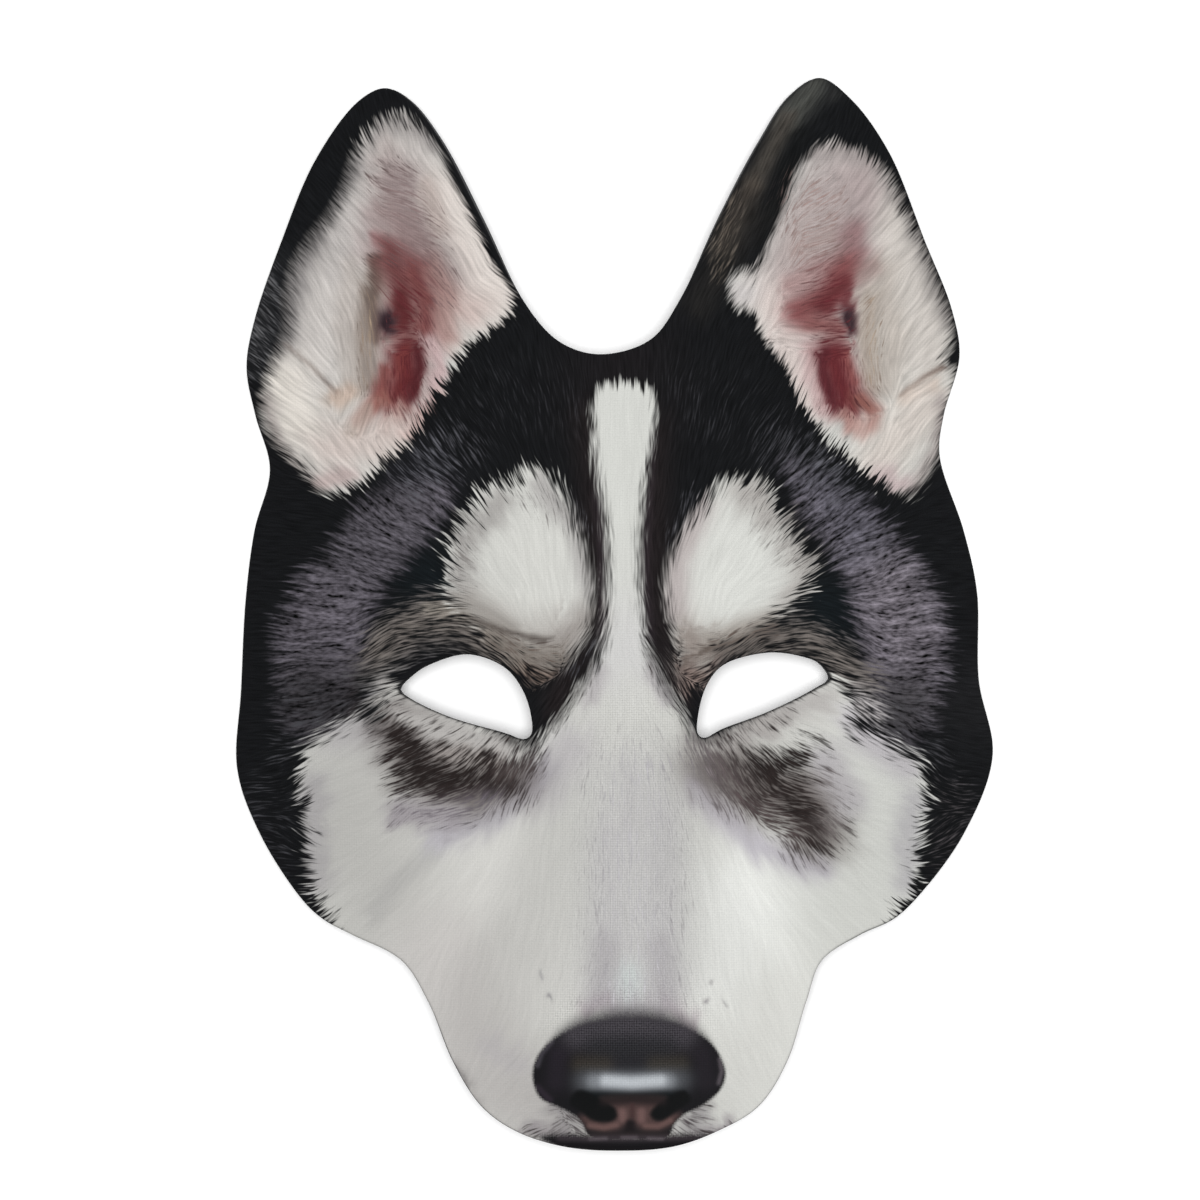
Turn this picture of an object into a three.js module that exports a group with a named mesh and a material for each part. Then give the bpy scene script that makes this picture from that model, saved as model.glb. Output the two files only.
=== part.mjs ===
// A dog-faced half mask for carnival and theatre, lying on its back rim with the face up.
// A printed knit cover is laminated on a moulded foam shell, and an elastic band is glued behind the
// temples under two foam patches. X runs across the face, Y up it towards the ears, Z out of it.
// All sizes are in millimetres.
import * as THREE from "three";

// Overall sizes of the face, seen from the front and from the side.
const HEIGHT = 260; // ear tip to lip
const WIDTH = 184.5; // cheek to cheek
const DEPTH = 50; // moulded relief, from the rim to the nose

// The laminate, from the front to the back.
const COVER_THICKNESS = 1.0;
const FOAM_THICKNESS = 2.4;
const LAYER_GAP = 0.3; // glue line, and the clearance of all that touches
const SHELL_THICKNESS = COVER_THICKNESS + LAYER_GAP + FOAM_THICKNESS;

// Eye holes.
const EYE_WIDTH = 33;
const EYE_HEIGHT = 20.6;
const EYE_SPACING = 72.4; // centre to centre

// The elastic band and the patches that hold its ends.
const BAND_WIDTH = 8;
const BAND_THICKNESS = 1.0;
const BAND_GRIP = 16; // how much of each end is glued under its patch
const PATCH_LENGTH = 24;
const PATCH_WIDTH = 19;
const PATCH_THICKNESS = 1.5;
const PATCH_CORNER = 5;
const PATCH_ACROSS = 0.375; // place of each patch's centre, as shares of WIDTH and HEIGHT
const PATCH_UP = 0.022;

// Facets of the solids.
const SHEET_FACET = 6;
const EYE_FACET = 2.6;
const PATCH_FACET = 3.2;
const BAND_SECTIONS = 72;
const SLOPE_STEP = 0.5; // distance over which the slope of the relief is measured

// The cut outline, from the dip between the ears round to the lip. Places are shares of WIDTH and
// HEIGHT, measured from the middle of the face. The two sides of the real cut differ a little.
const NOTCH = [-0.020, 0.2415];
const LIP = [0.006, -0.5];
const OUTLINE = [
  { at: "notch side", left: [-0.0735, 0.2535], right: [0.0460, 0.2550] },
  { at: "ear root", left: [-0.1225, 0.2930], right: [0.0860, 0.2930] },
  { at: "inner edge", left: [-0.1765, 0.3675], right: [0.1370, 0.3675] },
  { at: "inner edge, high", left: [-0.2310, 0.4420], right: [0.1930, 0.4420] },
  { at: "inside the tip", left: [-0.2705, 0.4785], right: [0.2310, 0.4830] },
  { at: "ear tip", left: [-0.3030, 0.4905], right: [0.2700, 0.5000] },
  { at: "outside the tip", left: [-0.3385, 0.4785], right: [0.3120, 0.4800] },
  { at: "outer edge, high", left: [-0.3955, 0.4240], right: [0.3620, 0.4310] },
  { at: "outer edge", left: [-0.4405, 0.3490], right: [0.4095, 0.3490] },
  { at: "outer edge, low", left: [-0.4770, 0.2745], right: [0.4455, 0.2855] },
  { at: "ear lobe", left: [-0.4875, 0.2300], right: [0.4560, 0.2410] },
  { at: "under the ear", left: [-0.4760, 0.1850], right: [0.4350, 0.1850] },
  { at: "temple dip", left: [-0.4570, 0.1350], right: [0.4300, 0.1480] },
  { at: "temple", left: [-0.4775, 0.0780], right: [0.4620, 0.0780] },
  { at: "side", left: [-0.4890, 0.0130], right: [0.4795, 0.0200] },
  { at: "side, low", left: [-0.4950, -0.0715], right: [0.4815, -0.0620] },
  { at: "cheek corner", left: [-0.5000, -0.1460], right: [0.5000, -0.1330] },
  { at: "cheek", left: [-0.4690, -0.2070], right: [0.4605, -0.2070] },
  { at: "jaw", left: [-0.4130, -0.2675], right: [0.3960, -0.2675] },
  { at: "jaw, low", left: [-0.3845, -0.2860], right: [0.3660, -0.2860] },
  { at: "jaw end", left: [-0.3480, -0.2995], right: [0.3240, -0.2995] },
  { at: "waist", left: [-0.2815, -0.3235], right: [0.2725, -0.3235] },
  { at: "muzzle, high", left: [-0.2470, -0.3610], right: [0.2525, -0.3610] },
  { at: "muzzle", left: [-0.2145, -0.4170], right: [0.2275, -0.4170] },
  { at: "muzzle, low", left: [-0.1770, -0.4590], right: [0.1900, -0.4590] },
  { at: "chin", left: [-0.1320, -0.4820], right: [0.1360, -0.4820] },
  { at: "lip side", left: [-0.0680, -0.4965], right: [0.0770, -0.4965] },
];

// An eye hole, from its outer corner over the upper lid. Places are shares of EYE_WIDTH and
// EYE_HEIGHT, measured from the hole's middle.
const EYE = [
  { at: "outer corner", left: [-0.493, 0.090], right: [0.487, 0.210] },
  { at: "upper lid, outer", left: [-0.405, 0.240], right: [0.420, 0.375] },
  { at: "upper lid, side", left: [-0.240, 0.390], right: [0.270, 0.470] },
  { at: "upper lid", left: [0.018, 0.490], right: [0.030, 0.510] },
  { at: "upper lid, inner", left: [0.285, 0.335], right: [-0.300, 0.365] },
  { at: "inner side", left: [0.415, 0.075], right: [-0.423, 0.124] },
  { at: "inner side, low", left: [0.480, -0.250], right: [-0.487, -0.250] },
  { at: "tear corner", left: [0.478, -0.440], right: [-0.487, -0.430] },
  { at: "tear corner, low", left: [0.430, -0.493], right: [-0.445, -0.480] },
  { at: "lower lid, inner", left: [0.283, -0.418], right: [-0.305, -0.371] },
  { at: "lower lid", left: [-0.120, -0.229], right: [0.011, -0.183] },
  { at: "lower lid, outer", left: [-0.410, -0.015], right: [0.390, 0.108] },
];
const EYES_UP = -0.0775; // height of the eye holes' middles, as a share of HEIGHT

// The wrap round the wearer's face, a section for each height. up is a share of HEIGHT, centre and half
// (the half width where the section meets the rim) of WIDTH, and crest and rim of DEPTH.
const WRAP = [
  { at: "ear tips", up: 0.50, centre: -0.016, half: 0.490, crest: 0.36, rim: 0.00, fullness: 2.3 },
  { at: "ears", up: 0.34, centre: -0.016, half: 0.455, crest: 0.46, rim: 0.02, fullness: 2.3 },
  { at: "ear roots", up: 0.23, centre: -0.016, half: 0.475, crest: 0.53, rim: 0.01, fullness: 2.4 },
  { at: "temple dip", up: 0.14, centre: -0.012, half: 0.445, crest: 0.57, rim: 0.00, fullness: 2.5 },
  { at: "temple", up: 0.01, centre: -0.004, half: 0.484, crest: 0.58, rim: 0.00, fullness: 2.6 },
  { at: "cheek corner", up: -0.14, centre: 0.000, half: 0.500, crest: 0.56, rim: 0.00, fullness: 2.6 },
  { at: "jaw", up: -0.27, centre: 0.002, half: 0.490, crest: 0.53, rim: 0.02, fullness: 2.4 },
  { at: "lip", up: -0.50, centre: 0.006, half: 0.490, crest: 0.46, rim: 0.04, fullness: 2.4 },
];

// The muzzle that stands on the wrap. up is a share of HEIGHT, centre and half of WIDTH, rise of DEPTH.
const MUZZLE = [
  { at: "stop", up: -0.060, centre: 0.005, half: 0.080, rise: 0.00 },
  { at: "bridge", up: -0.170, centre: 0.005, half: 0.125, rise: 0.16 },
  { at: "middle", up: -0.270, centre: 0.005, half: 0.185, rise: 0.32 },
  { at: "pads", up: -0.360, centre: 0.005, half: 0.250, rise: 0.43 },
  { at: "nose", up: -0.425, centre: 0.006, half: 0.245, rise: 0.47 },
  { at: "lip", up: -0.470, centre: 0.006, half: 0.215, rise: 0.34 },
  { at: "edge", up: -0.500, centre: 0.006, half: 0.190, rise: 0.18 },
];

// Swellings and hollows pressed into the face. across and wide are shares of WIDTH, up and tall of
// HEIGHT, and rise of DEPTH. turn is in degrees, and a higher crisp gives steeper sides.
const PRESSED = [
  { at: "left brow", across: -0.110, up: 0.030, wide: 0.080, tall: 0.065, turn: 0, rise: 0.060, crisp: 1 },
  { at: "right brow", across: 0.135, up: 0.030, wide: 0.080, tall: 0.065, turn: 0, rise: 0.060, crisp: 1 },
  { at: "left eye socket", across: -0.196, up: -0.080, wide: 0.125, tall: 0.058, turn: -14, rise: -0.080, crisp: 1 },
  { at: "right eye socket", across: 0.196, up: -0.080, wide: 0.125, tall: 0.058, turn: 14, rise: -0.080, crisp: 1 },
  { at: "left cheek", across: -0.310, up: -0.175, wide: 0.120, tall: 0.080, turn: 20, rise: 0.060, crisp: 1 },
  { at: "right cheek", across: 0.310, up: -0.175, wide: 0.120, tall: 0.080, turn: -20, rise: 0.060, crisp: 1 },
  { at: "left ear cup", across: -0.295, up: 0.270, wide: 0.090, tall: 0.125, turn: -6, rise: -0.150, crisp: 1 },
  { at: "right ear cup", across: 0.290, up: 0.265, wide: 0.090, tall: 0.125, turn: 8, rise: -0.150, crisp: 1 },
  { at: "left pad", across: -0.145, up: -0.375, wide: 0.075, tall: 0.055, turn: 0, rise: 0.050, crisp: 1 },
  { at: "right pad", across: 0.160, up: -0.375, wide: 0.075, tall: 0.055, turn: 0, rise: 0.050, crisp: 1 },
  { at: "brow furrow", across: 0.008, up: 0.090, wide: 0.040, tall: 0.110, turn: 0, rise: -0.040, crisp: 1 },
  { at: "nose", across: 0.017, up: -0.425, wide: 0.120, tall: 0.052, turn: 0, rise: 0.070, crisp: 2 },
];

// The band's way from patch to patch as it lies on the table: it stands on its edge in a loose bow.
// across and up are shares of WIDTH and HEIGHT, for the left half. The right half mirrors it. lift is 1
// where the band is against the shell, and 0 on the table.
const BAND_BOW = [
  { at: "leaving the patch", across: -0.292, up: 0.023, lift: 0.93 },
  { at: "falling", across: -0.268, up: 0.039, lift: 0.58 },
  { at: "landing", across: -0.262, up: 0.080, lift: 0.12 },
  { at: "on the table", across: -0.254, up: 0.132, lift: 0.00 },
  { at: "rounding", across: -0.190, up: 0.186, lift: 0.00 },
  { at: "bow", across: -0.095, up: 0.208, lift: 0.00 },
];
const BAND_TOP_UP = 0.214; // the bow's furthest point
const TWIST_FROM = 0.10; // the band turns onto its edge between these shares of its length
const TWIST_TO = 0.25;

// A value of a table at any height: a smooth curve through its rows, level beyond the first and last.
function tableAt(rows, up, column) {
  const last = rows.length - 1;
  if (up >= rows[0].up) return rows[0][column];
  if (up <= rows[last].up) return rows[last][column];
  const i = rows.findIndex((row) => row.up < up) - 1;
  const [before, from, to, after] = [rows[Math.max(i - 1, 0)], rows[i], rows[i + 1], rows[Math.min(i + 2, last)]];
  const span = to.up - from.up;
  const t = (up - from.up) / span;
  const slope = (a, b) => ((b[column] - a[column]) / (b.up - a.up)) * span;
  const leaving = slope(before, to);
  const arriving = slope(from, after);
  const rise = to[column] - from[column];
  return from[column] + t * (leaving + t * (3 * rise - 2 * leaving - arriving + t * (leaving + arriving - 2 * rise)));
}

// Height of the wrap round the face.
function wrapHeight(x, y) {
  const row = (column) => tableAt(WRAP, y / HEIGHT, column);
  const reach = Math.abs(x / WIDTH - row("centre")) / row("half");
  const crest = row("crest");
  return DEPTH * (crest - (crest - row("rim")) * Math.pow(reach, row("fullness")));
}

// Height of the muzzle above the wrap.
function muzzleHeight(x, y) {
  const row = (column) => tableAt(MUZZLE, y / HEIGHT, column);
  const reach = Math.min(Math.abs(x / WIDTH - row("centre")) / row("half"), 1);
  return DEPTH * row("rise") * Math.pow(1 - reach * reach, 2);
}

// Height that one pressed swelling or hollow adds.
function pressedHeight(form, x, y) {
  const turn = THREE.MathUtils.degToRad(form.turn);
  const [dx, dy] = [x - form.across * WIDTH, y - form.up * HEIGHT];
  const along = (dx * Math.cos(turn) + dy * Math.sin(turn)) / (form.wide * WIDTH);
  const over = (dy * Math.cos(turn) - dx * Math.sin(turn)) / (form.tall * HEIGHT);
  return DEPTH * form.rise * Math.exp(-Math.pow(along * along + over * over, form.crisp));
}

// The front of the mask as a height over each place, before it is set down on the table.
function reliefHeight(x, y) {
  return PRESSED.reduce((sum, form) => sum + pressedHeight(form, x, y), wrapHeight(x, y) + muzzleHeight(x, y));
}

// The direction that faces out of the relief.
function reliefNormal(x, y) {
  const slope = (dx, dy) => (reliefHeight(x + dx, y + dy) - reliefHeight(x - dx, y - dy)) / (2 * SLOPE_STEP);
  return new THREE.Vector3(-slope(SLOPE_STEP, 0), -slope(0, SLOPE_STEP), 1).normalize();
}

// A closed smooth cut line through its named places, sampled at even steps.
function cutLine(places, step) {
  const curve = new THREE.CatmullRomCurve3(places.map(([x, y]) => new THREE.Vector3(x, y, 0)), true);
  curve.arcLengthDivisions = 40 * places.length;
  const count = Math.round(curve.getLength() / step);
  return curve.getSpacedPoints(count).slice(0, count).map((p) => new THREE.Vector2(p.x, p.y));
}

function maskOutline() {
  const place = ([across, up]) => [across * WIDTH, up * HEIGHT];
  const right = OUTLINE.map((row) => place(row.right));
  const left = OUTLINE.map((row) => place(row.left)).reverse();
  return cutLine([place(NOTCH), ...right, place(LIP), ...left], SHEET_FACET);
}

function eyeHole(side) {
  const middle = side === "left" ? -EYE_SPACING / 2 : EYE_SPACING / 2;
  const places = EYE.map((row) => [middle + row[side][0] * EYE_WIDTH, EYES_UP * HEIGHT + row[side][1] * EYE_HEIGHT]);
  return cutLine(places, EYE_FACET);
}

// A triangle of a triangulation, with the circle through its corners.
function circled(points, corners) {
  const [a, b, c] = corners.map((i) => points[i]);
  const [bx, by, cx, cy] = [b.x - a.x, b.y - a.y, c.x - a.x, c.y - a.y];
  const twice = 2 * (bx * cy - by * cx);
  const [bb, cc] = [bx * bx + by * by, cx * cx + cy * cy];
  const centre = new THREE.Vector2((cy * bb - by * cc) / twice, (bx * cc - cx * bb) / twice);
  return { corners, radiusSquared: centre.lengthSq(), centre: centre.add(a) };
}

const edgesOf = ([a, b, c]) => [[a, b], [b, c], [c, a]];

// Delaunay triangles of points in a plane, by inserting them one at a time.
function triangulate(points) {
  const far = 20 * (HEIGHT + WIDTH);
  const count = points.length;
  const outer = [[-far, -far], [far, -far], [0, far]].map(([x, y]) => new THREE.Vector2(x, y));
  const all = [...points, ...outer];
  let triangles = [circled(all, [count, count + 1, count + 2])];
  points.forEach((point, index) => {
    const rim = new Map();
    const kept = [];
    for (const triangle of triangles) {
      if (point.distanceToSquared(triangle.centre) >= triangle.radiusSquared) {
        kept.push(triangle);
        continue;
      }
      for (const [a, b] of edgesOf(triangle.corners)) {
        if (!rim.delete(`${b} ${a}`)) rim.set(`${a} ${b}`, [a, b]);
      }
    }
    for (const [a, b] of rim.values()) kept.push(circled(all, [a, b, index]));
    triangles = kept;
  });
  return triangles.map((t) => t.corners).filter((corners) => corners.every((i) => i < count));
}

function isInside(polygon, x, y) {
  let inside = false;
  polygon.forEach((b, i) => {
    const a = polygon.at(i - 1);
    if (a.y > y !== b.y > y && x < ((b.x - a.x) * (y - a.y)) / (b.y - a.y) + a.x) inside = !inside;
  });
  return inside;
}

// A flat cut sheet as points and triangles: the cut lines, and a triangular grid between them.
function flatSheet(outline, holes, facet) {
  const onSheet = (x, y) => isInside(outline, x, y) && !holes.some((hole) => isInside(hole, x, y));
  const cuts = [outline, ...holes].flat();
  const clearOfCuts = (x, y) => cuts.every((p) => Math.hypot(p.x - x, p.y - y) > 0.6 * facet);
  const box = new THREE.Box2().setFromPoints(outline);
  const rowStep = facet * Math.sqrt(0.75);
  const inner = [];
  for (let row = 0; box.min.y + row * rowStep < box.max.y; row++) {
    const y = box.min.y + row * rowStep;
    for (let x = box.min.x + (row % 2) * facet * 0.5; x < box.max.x; x += facet) {
      if (onSheet(x, y) && clearOfCuts(x, y)) inner.push(new THREE.Vector2(x, y));
    }
  }
  const points = [...cuts, ...inner];
  const triangles = triangulate(points).filter((corners) => {
    const [a, b, c] = corners.map((i) => points[i]);
    return onSheet((a.x + b.x + c.x) / 3, (a.y + b.y + c.y) / 3);
  });
  return { points, triangles };
}

// The flat sheet pressed to the relief, as a closed body between two depths behind the front. A depth
// is a function of the place on the sheet.
function pressedSheet(sheet, frontDepth, backDepth) {
  const layer = (depth) => sheet.points.map(({ x, y }) => {
    const front = new THREE.Vector3(x, y, reliefHeight(x, y) - tableLevel);
    return front.addScaledVector(reliefNormal(x, y), -depth(x, y));
  });
  const count = sheet.points.length;
  const edges = new Set(sheet.triangles.flatMap(edgesOf).map(([a, b]) => `${a} ${b}`));
  const faces = sheet.triangles.flatMap(([a, b, c]) => [a, b, c, count + a, count + c, count + b]);
  for (const [a, b] of sheet.triangles.flatMap(edgesOf)) {
    if (!edges.has(`${b} ${a}`)) faces.push(a, count + a, b, b, count + a, count + b);
  }
  return bodyFrom([...layer(frontDepth), ...layer(backDepth)], faces);
}

function bodyFrom(points, faces) {
  const geometry = new THREE.BufferGeometry().setFromPoints(points);
  geometry.setIndex(faces);
  geometry.computeVertexNormals();
  return geometry;
}

const constant = (value) => () => value;

// The plane of the table, under the lowest point of the shell's back edge.
function lowestBackEdge(outline) {
  const backEdge = outline.map(({ x, y }) => reliefHeight(x, y) - SHELL_THICKNESS * reliefNormal(x, y).z);
  return Math.min(...backEdge);
}

const outline = maskOutline();
const tableLevel = lowestBackEdge(outline);
const faceSheet = flatSheet(outline, [eyeHole("left"), eyeHole("right")], SHEET_FACET);

// A patch over the end of the band: it lies on the shell and rises over the band like a tent.
function bandPatch(side) {
  const middle = new THREE.Vector2(side * PATCH_ACROSS * WIDTH, PATCH_UP * HEIGHT);
  const [halfLength, halfWidth] = [PATCH_LENGTH / 2, PATCH_WIDTH / 2];
  const shape = new THREE.Shape();
  const [turnX, turnY] = [halfLength - PATCH_CORNER, halfWidth - PATCH_CORNER];
  shape.absarc(turnX, turnY, PATCH_CORNER, 0, Math.PI / 2);
  shape.absarc(-turnX, turnY, PATCH_CORNER, Math.PI / 2, Math.PI);
  shape.absarc(-turnX, -turnY, PATCH_CORNER, Math.PI, 1.5 * Math.PI);
  shape.absarc(turnX, -turnY, PATCH_CORNER, 1.5 * Math.PI, 2 * Math.PI);
  shape.closePath();
  const count = Math.round(shape.getLength() / PATCH_FACET);
  const cut = shape.getSpacedPoints(count).slice(0, count).map((p) => p.add(middle));
  const lift = LAYER_GAP + BAND_THICKNESS;
  const tent = (x, y) => {
    const beside = Math.abs(y - middle.y) - BAND_WIDTH / 2 - LAYER_GAP;
    const beyond = side * (x - middle.x) - (BAND_GRIP - halfLength) - LAYER_GAP;
    return 1 - THREE.MathUtils.smoothstep(Math.max(beside, beyond), 0.6, 3.4);
  };
  const near = (x, y) => SHELL_THICKNESS + LAYER_GAP + lift * tent(x, y);
  return pressedSheet(flatSheet(cut, [], PATCH_FACET), near, (x, y) => near(x, y) + PATCH_THICKNESS);
}

// A point of the band's glued end, in the middle of its thickness.
function gluedPoint(x, y) {
  const front = new THREE.Vector3(x, y, reliefHeight(x, y) - tableLevel);
  return front.addScaledVector(reliefNormal(x, y), -(SHELL_THICKNESS + LAYER_GAP + BAND_THICKNESS / 2));
}

// The band's middle line, from the left patch over its bow to the right patch.
function bandLine() {
  const inner = PATCH_ACROSS * WIDTH - PATCH_LENGTH / 2;
  const standing = BAND_WIDTH / 2 + LAYER_GAP;
  const half = (side) => {
    const glued = [1, 0.75, 0.5, 0.25, 0].map((share) => gluedPoint(side * (inner + share * BAND_GRIP), PATCH_UP * HEIGHT));
    const free = BAND_BOW.map((row) => {
      const point = gluedPoint(-side * row.across * WIDTH, row.up * HEIGHT);
      return point.setZ(THREE.MathUtils.lerp(standing, point.z, row.lift));
    });
    return [...glued, ...free];
  };
  const top = new THREE.Vector3(0, BAND_TOP_UP * HEIGHT, standing);
  return new THREE.CatmullRomCurve3([...half(-1), top, ...half(1).reverse()]);
}

// A flat band along a line: four corners at each section, turned onto its edge between its ends.
function elasticBand() {
  const line = bandLine();
  line.arcLengthDivisions = 10 * BAND_SECTIONS;
  const corners = [];
  for (let i = 0; i <= BAND_SECTIONS; i++) {
    const share = i / BAND_SECTIONS;
    const [centre, run] = [line.getPointAt(share), line.getTangentAt(share)];
    const fromEnd = Math.min(share, 1 - share);
    const turned = THREE.MathUtils.smoothstep(fromEnd, TWIST_FROM, TWIST_TO) * (Math.PI / 2);
    const across = new THREE.Vector3().crossVectors(reliefNormal(centre.x, centre.y), run).normalize();
    across.multiplyScalar(Math.cos(turned)).setZ(across.z + Math.sin(turned));
    across.addScaledVector(run, -across.dot(run)).normalize();
    const outwards = new THREE.Vector3().crossVectors(run, across);
    for (const [a, o] of [[-1, -1], [1, -1], [1, 1], [-1, 1]]) {
      const corner = centre.clone().addScaledVector(across, (a * BAND_WIDTH) / 2);
      corners.push(corner.addScaledVector(outwards, (o * BAND_THICKNESS) / 2));
    }
  }
  const faces = [0, 2, 1, 0, 3, 2];
  for (let i = 0; i < BAND_SECTIONS; i++) {
    for (let k = 0; k < 4; k++) {
      const [a, b] = [4 * i + k, 4 * i + ((k + 1) % 4)];
      faces.push(a, b, a + 4, b, b + 4, a + 4);
    }
  }
  const end = 4 * BAND_SECTIONS;
  faces.push(end, end + 1, end + 2, end, end + 2, end + 3);
  return bodyFrom(corners, faces);
}

const printedKnit = new THREE.MeshStandardMaterial({ color: 0xc9c8c4, roughness: 0.85, metalness: 0 });
const blackFoam = new THREE.MeshStandardMaterial({ color: 0x1c1c1e, roughness: 0.9, metalness: 0 });
const blackElastic = new THREE.MeshStandardMaterial({ color: 0x141416, roughness: 0.8, metalness: 0 });

const mask = new THREE.Group();
function addPiece(name, geometry, material) {
  const mesh = new THREE.Mesh(geometry, material);
  mesh.name = name;
  mask.add(mesh);
}

const foamFront = COVER_THICKNESS + LAYER_GAP;
addPiece("printed_cover", pressedSheet(faceSheet, constant(0), constant(COVER_THICKNESS)), printedKnit);
addPiece("foam_shell", pressedSheet(faceSheet, constant(foamFront), constant(SHELL_THICKNESS)), blackFoam);
addPiece("elastic_band", elasticBand(), blackElastic);
addPiece("band_patch_left", bandPatch(-1), blackFoam);
addPiece("band_patch_right", bandPatch(1), blackFoam);

export default mask;
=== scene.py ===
"""A dog-faced half mask lying face up on a pale table, lit and framed as a plain studio picture.

The shapes repeat the named sizes of the solids, in millimetres, and finer meshes stand for them. The fur
print is painted from named outlines, dabs and strokes, placed in pixels of a 1200 x 1200 picture.
"""

import math

import bpy
import numpy as np
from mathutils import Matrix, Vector
from mathutils.geometry import delaunay_2d_cdt


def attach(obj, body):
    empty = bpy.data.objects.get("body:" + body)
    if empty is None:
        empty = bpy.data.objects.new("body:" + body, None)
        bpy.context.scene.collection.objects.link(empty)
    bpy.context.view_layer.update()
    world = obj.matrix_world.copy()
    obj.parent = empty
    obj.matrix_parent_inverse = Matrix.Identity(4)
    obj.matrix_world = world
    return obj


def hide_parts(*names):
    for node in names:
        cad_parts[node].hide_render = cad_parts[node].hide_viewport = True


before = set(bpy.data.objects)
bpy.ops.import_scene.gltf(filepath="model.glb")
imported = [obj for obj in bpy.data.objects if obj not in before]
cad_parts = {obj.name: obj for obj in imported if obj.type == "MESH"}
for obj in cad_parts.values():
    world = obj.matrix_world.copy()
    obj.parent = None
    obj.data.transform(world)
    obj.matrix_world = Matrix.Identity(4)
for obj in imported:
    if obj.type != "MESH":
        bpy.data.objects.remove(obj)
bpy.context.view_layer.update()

MM = 0.001

# Sizes of the face and of its layers.
HEIGHT = 260.0
WIDTH = 184.5
DEPTH = 50.0
COVER_THICKNESS = 1.0
FOAM_THICKNESS = 2.4
LAYER_GAP = 0.3
SHELL_THICKNESS = COVER_THICKNESS + LAYER_GAP + FOAM_THICKNESS
EYE_WIDTH = 33.0
EYE_HEIGHT = 20.6
EYE_SPACING = 72.4
EYES_UP = -0.0775
BAND_WIDTH = 8.0
BAND_THICKNESS = 1.0
BAND_GRIP = 16.0
RIB_WIDTH = 0.8
RIB_DEPTH = 0.09
RIB_POINTS = 41
PICK_LENGTH = 0.9
BAND_STEP = 0.8
BAND_EDGE = 0.32
PATCH_LENGTH = 24.0
PATCH_WIDTH = 19.0
PATCH_THICKNESS = 1.5
PATCH_CORNER = 5.0
PATCH_ACROSS = 0.375
PATCH_UP = 0.022
SLOPE_STEP = 0.5
ROUGH_STEP = 6.0

# For the sheets: points handled at once, limits of small and great, and margins in facets.
BLOCK = 4000
TINY = 1e-4
MERGE = 1e-5
FAR = 1e9
NO_SIZE = 1e-30
BOX_MARGIN = 0.4
ROW_MARGIN = 0.55

# The cut outline in shares of WIDTH and HEIGHT: left place, right place.
NOTCH = (-0.020, 0.2415)
LIP = (0.006, -0.5)
OUTLINE = [
    ((-0.0735, 0.2535), (0.0460, 0.2550)),  # notch side
    ((-0.1225, 0.2930), (0.0860, 0.2930)),  # ear root
    ((-0.1765, 0.3675), (0.1370, 0.3675)),  # inner edge
    ((-0.2310, 0.4420), (0.1930, 0.4420)),
    ((-0.2705, 0.4785), (0.2310, 0.4830)),
    ((-0.3030, 0.4905), (0.2700, 0.5000)),  # ear tip
    ((-0.3385, 0.4785), (0.3120, 0.4800)),
    ((-0.3955, 0.4240), (0.3620, 0.4310)),  # outer edge
    ((-0.4405, 0.3490), (0.4095, 0.3490)),
    ((-0.4770, 0.2745), (0.4455, 0.2855)),
    ((-0.4875, 0.2300), (0.4560, 0.2410)),  # ear lobe
    ((-0.4760, 0.1850), (0.4350, 0.1850)),
    ((-0.4570, 0.1350), (0.4300, 0.1480)),  # temple dip
    ((-0.4775, 0.0780), (0.4620, 0.0780)),
    ((-0.4890, 0.0130), (0.4795, 0.0200)),  # side
    ((-0.4950, -0.0715), (0.4815, -0.0620)),
    ((-0.5000, -0.1460), (0.5000, -0.1330)),  # cheek corner
    ((-0.4690, -0.2070), (0.4605, -0.2070)),
    ((-0.4130, -0.2675), (0.3960, -0.2675)),  # jaw
    ((-0.3845, -0.2860), (0.3660, -0.2860)),
    ((-0.3480, -0.2995), (0.3240, -0.2995)),
    ((-0.2815, -0.3235), (0.2725, -0.3235)),  # waist
    ((-0.2470, -0.3610), (0.2525, -0.3610)),
    ((-0.2145, -0.4170), (0.2275, -0.4170)),  # muzzle
    ((-0.1770, -0.4590), (0.1900, -0.4590)),
    ((-0.1320, -0.4820), (0.1360, -0.4820)),  # chin
    ((-0.0680, -0.4965), (0.0770, -0.4965)),
]
# An eye hole from its outer corner over the upper lid, in shares of its width and height.
EYE = [
    ((-0.493, 0.090), (0.487, 0.210)),
    ((-0.405, 0.240), (0.420, 0.375)),
    ((-0.240, 0.390), (0.270, 0.470)),
    ((0.018, 0.490), (0.030, 0.510)),
    ((0.285, 0.335), (-0.300, 0.365)),
    ((0.415, 0.075), (-0.423, 0.124)),
    ((0.480, -0.250), (-0.487, -0.250)),
    ((0.478, -0.440), (-0.487, -0.430)),
    ((0.430, -0.493), (-0.445, -0.480)),
    ((0.283, -0.418), (-0.305, -0.371)),
    ((-0.120, -0.229), (0.011, -0.183)),
    ((-0.410, -0.015), (0.390, 0.108)),
]

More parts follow.
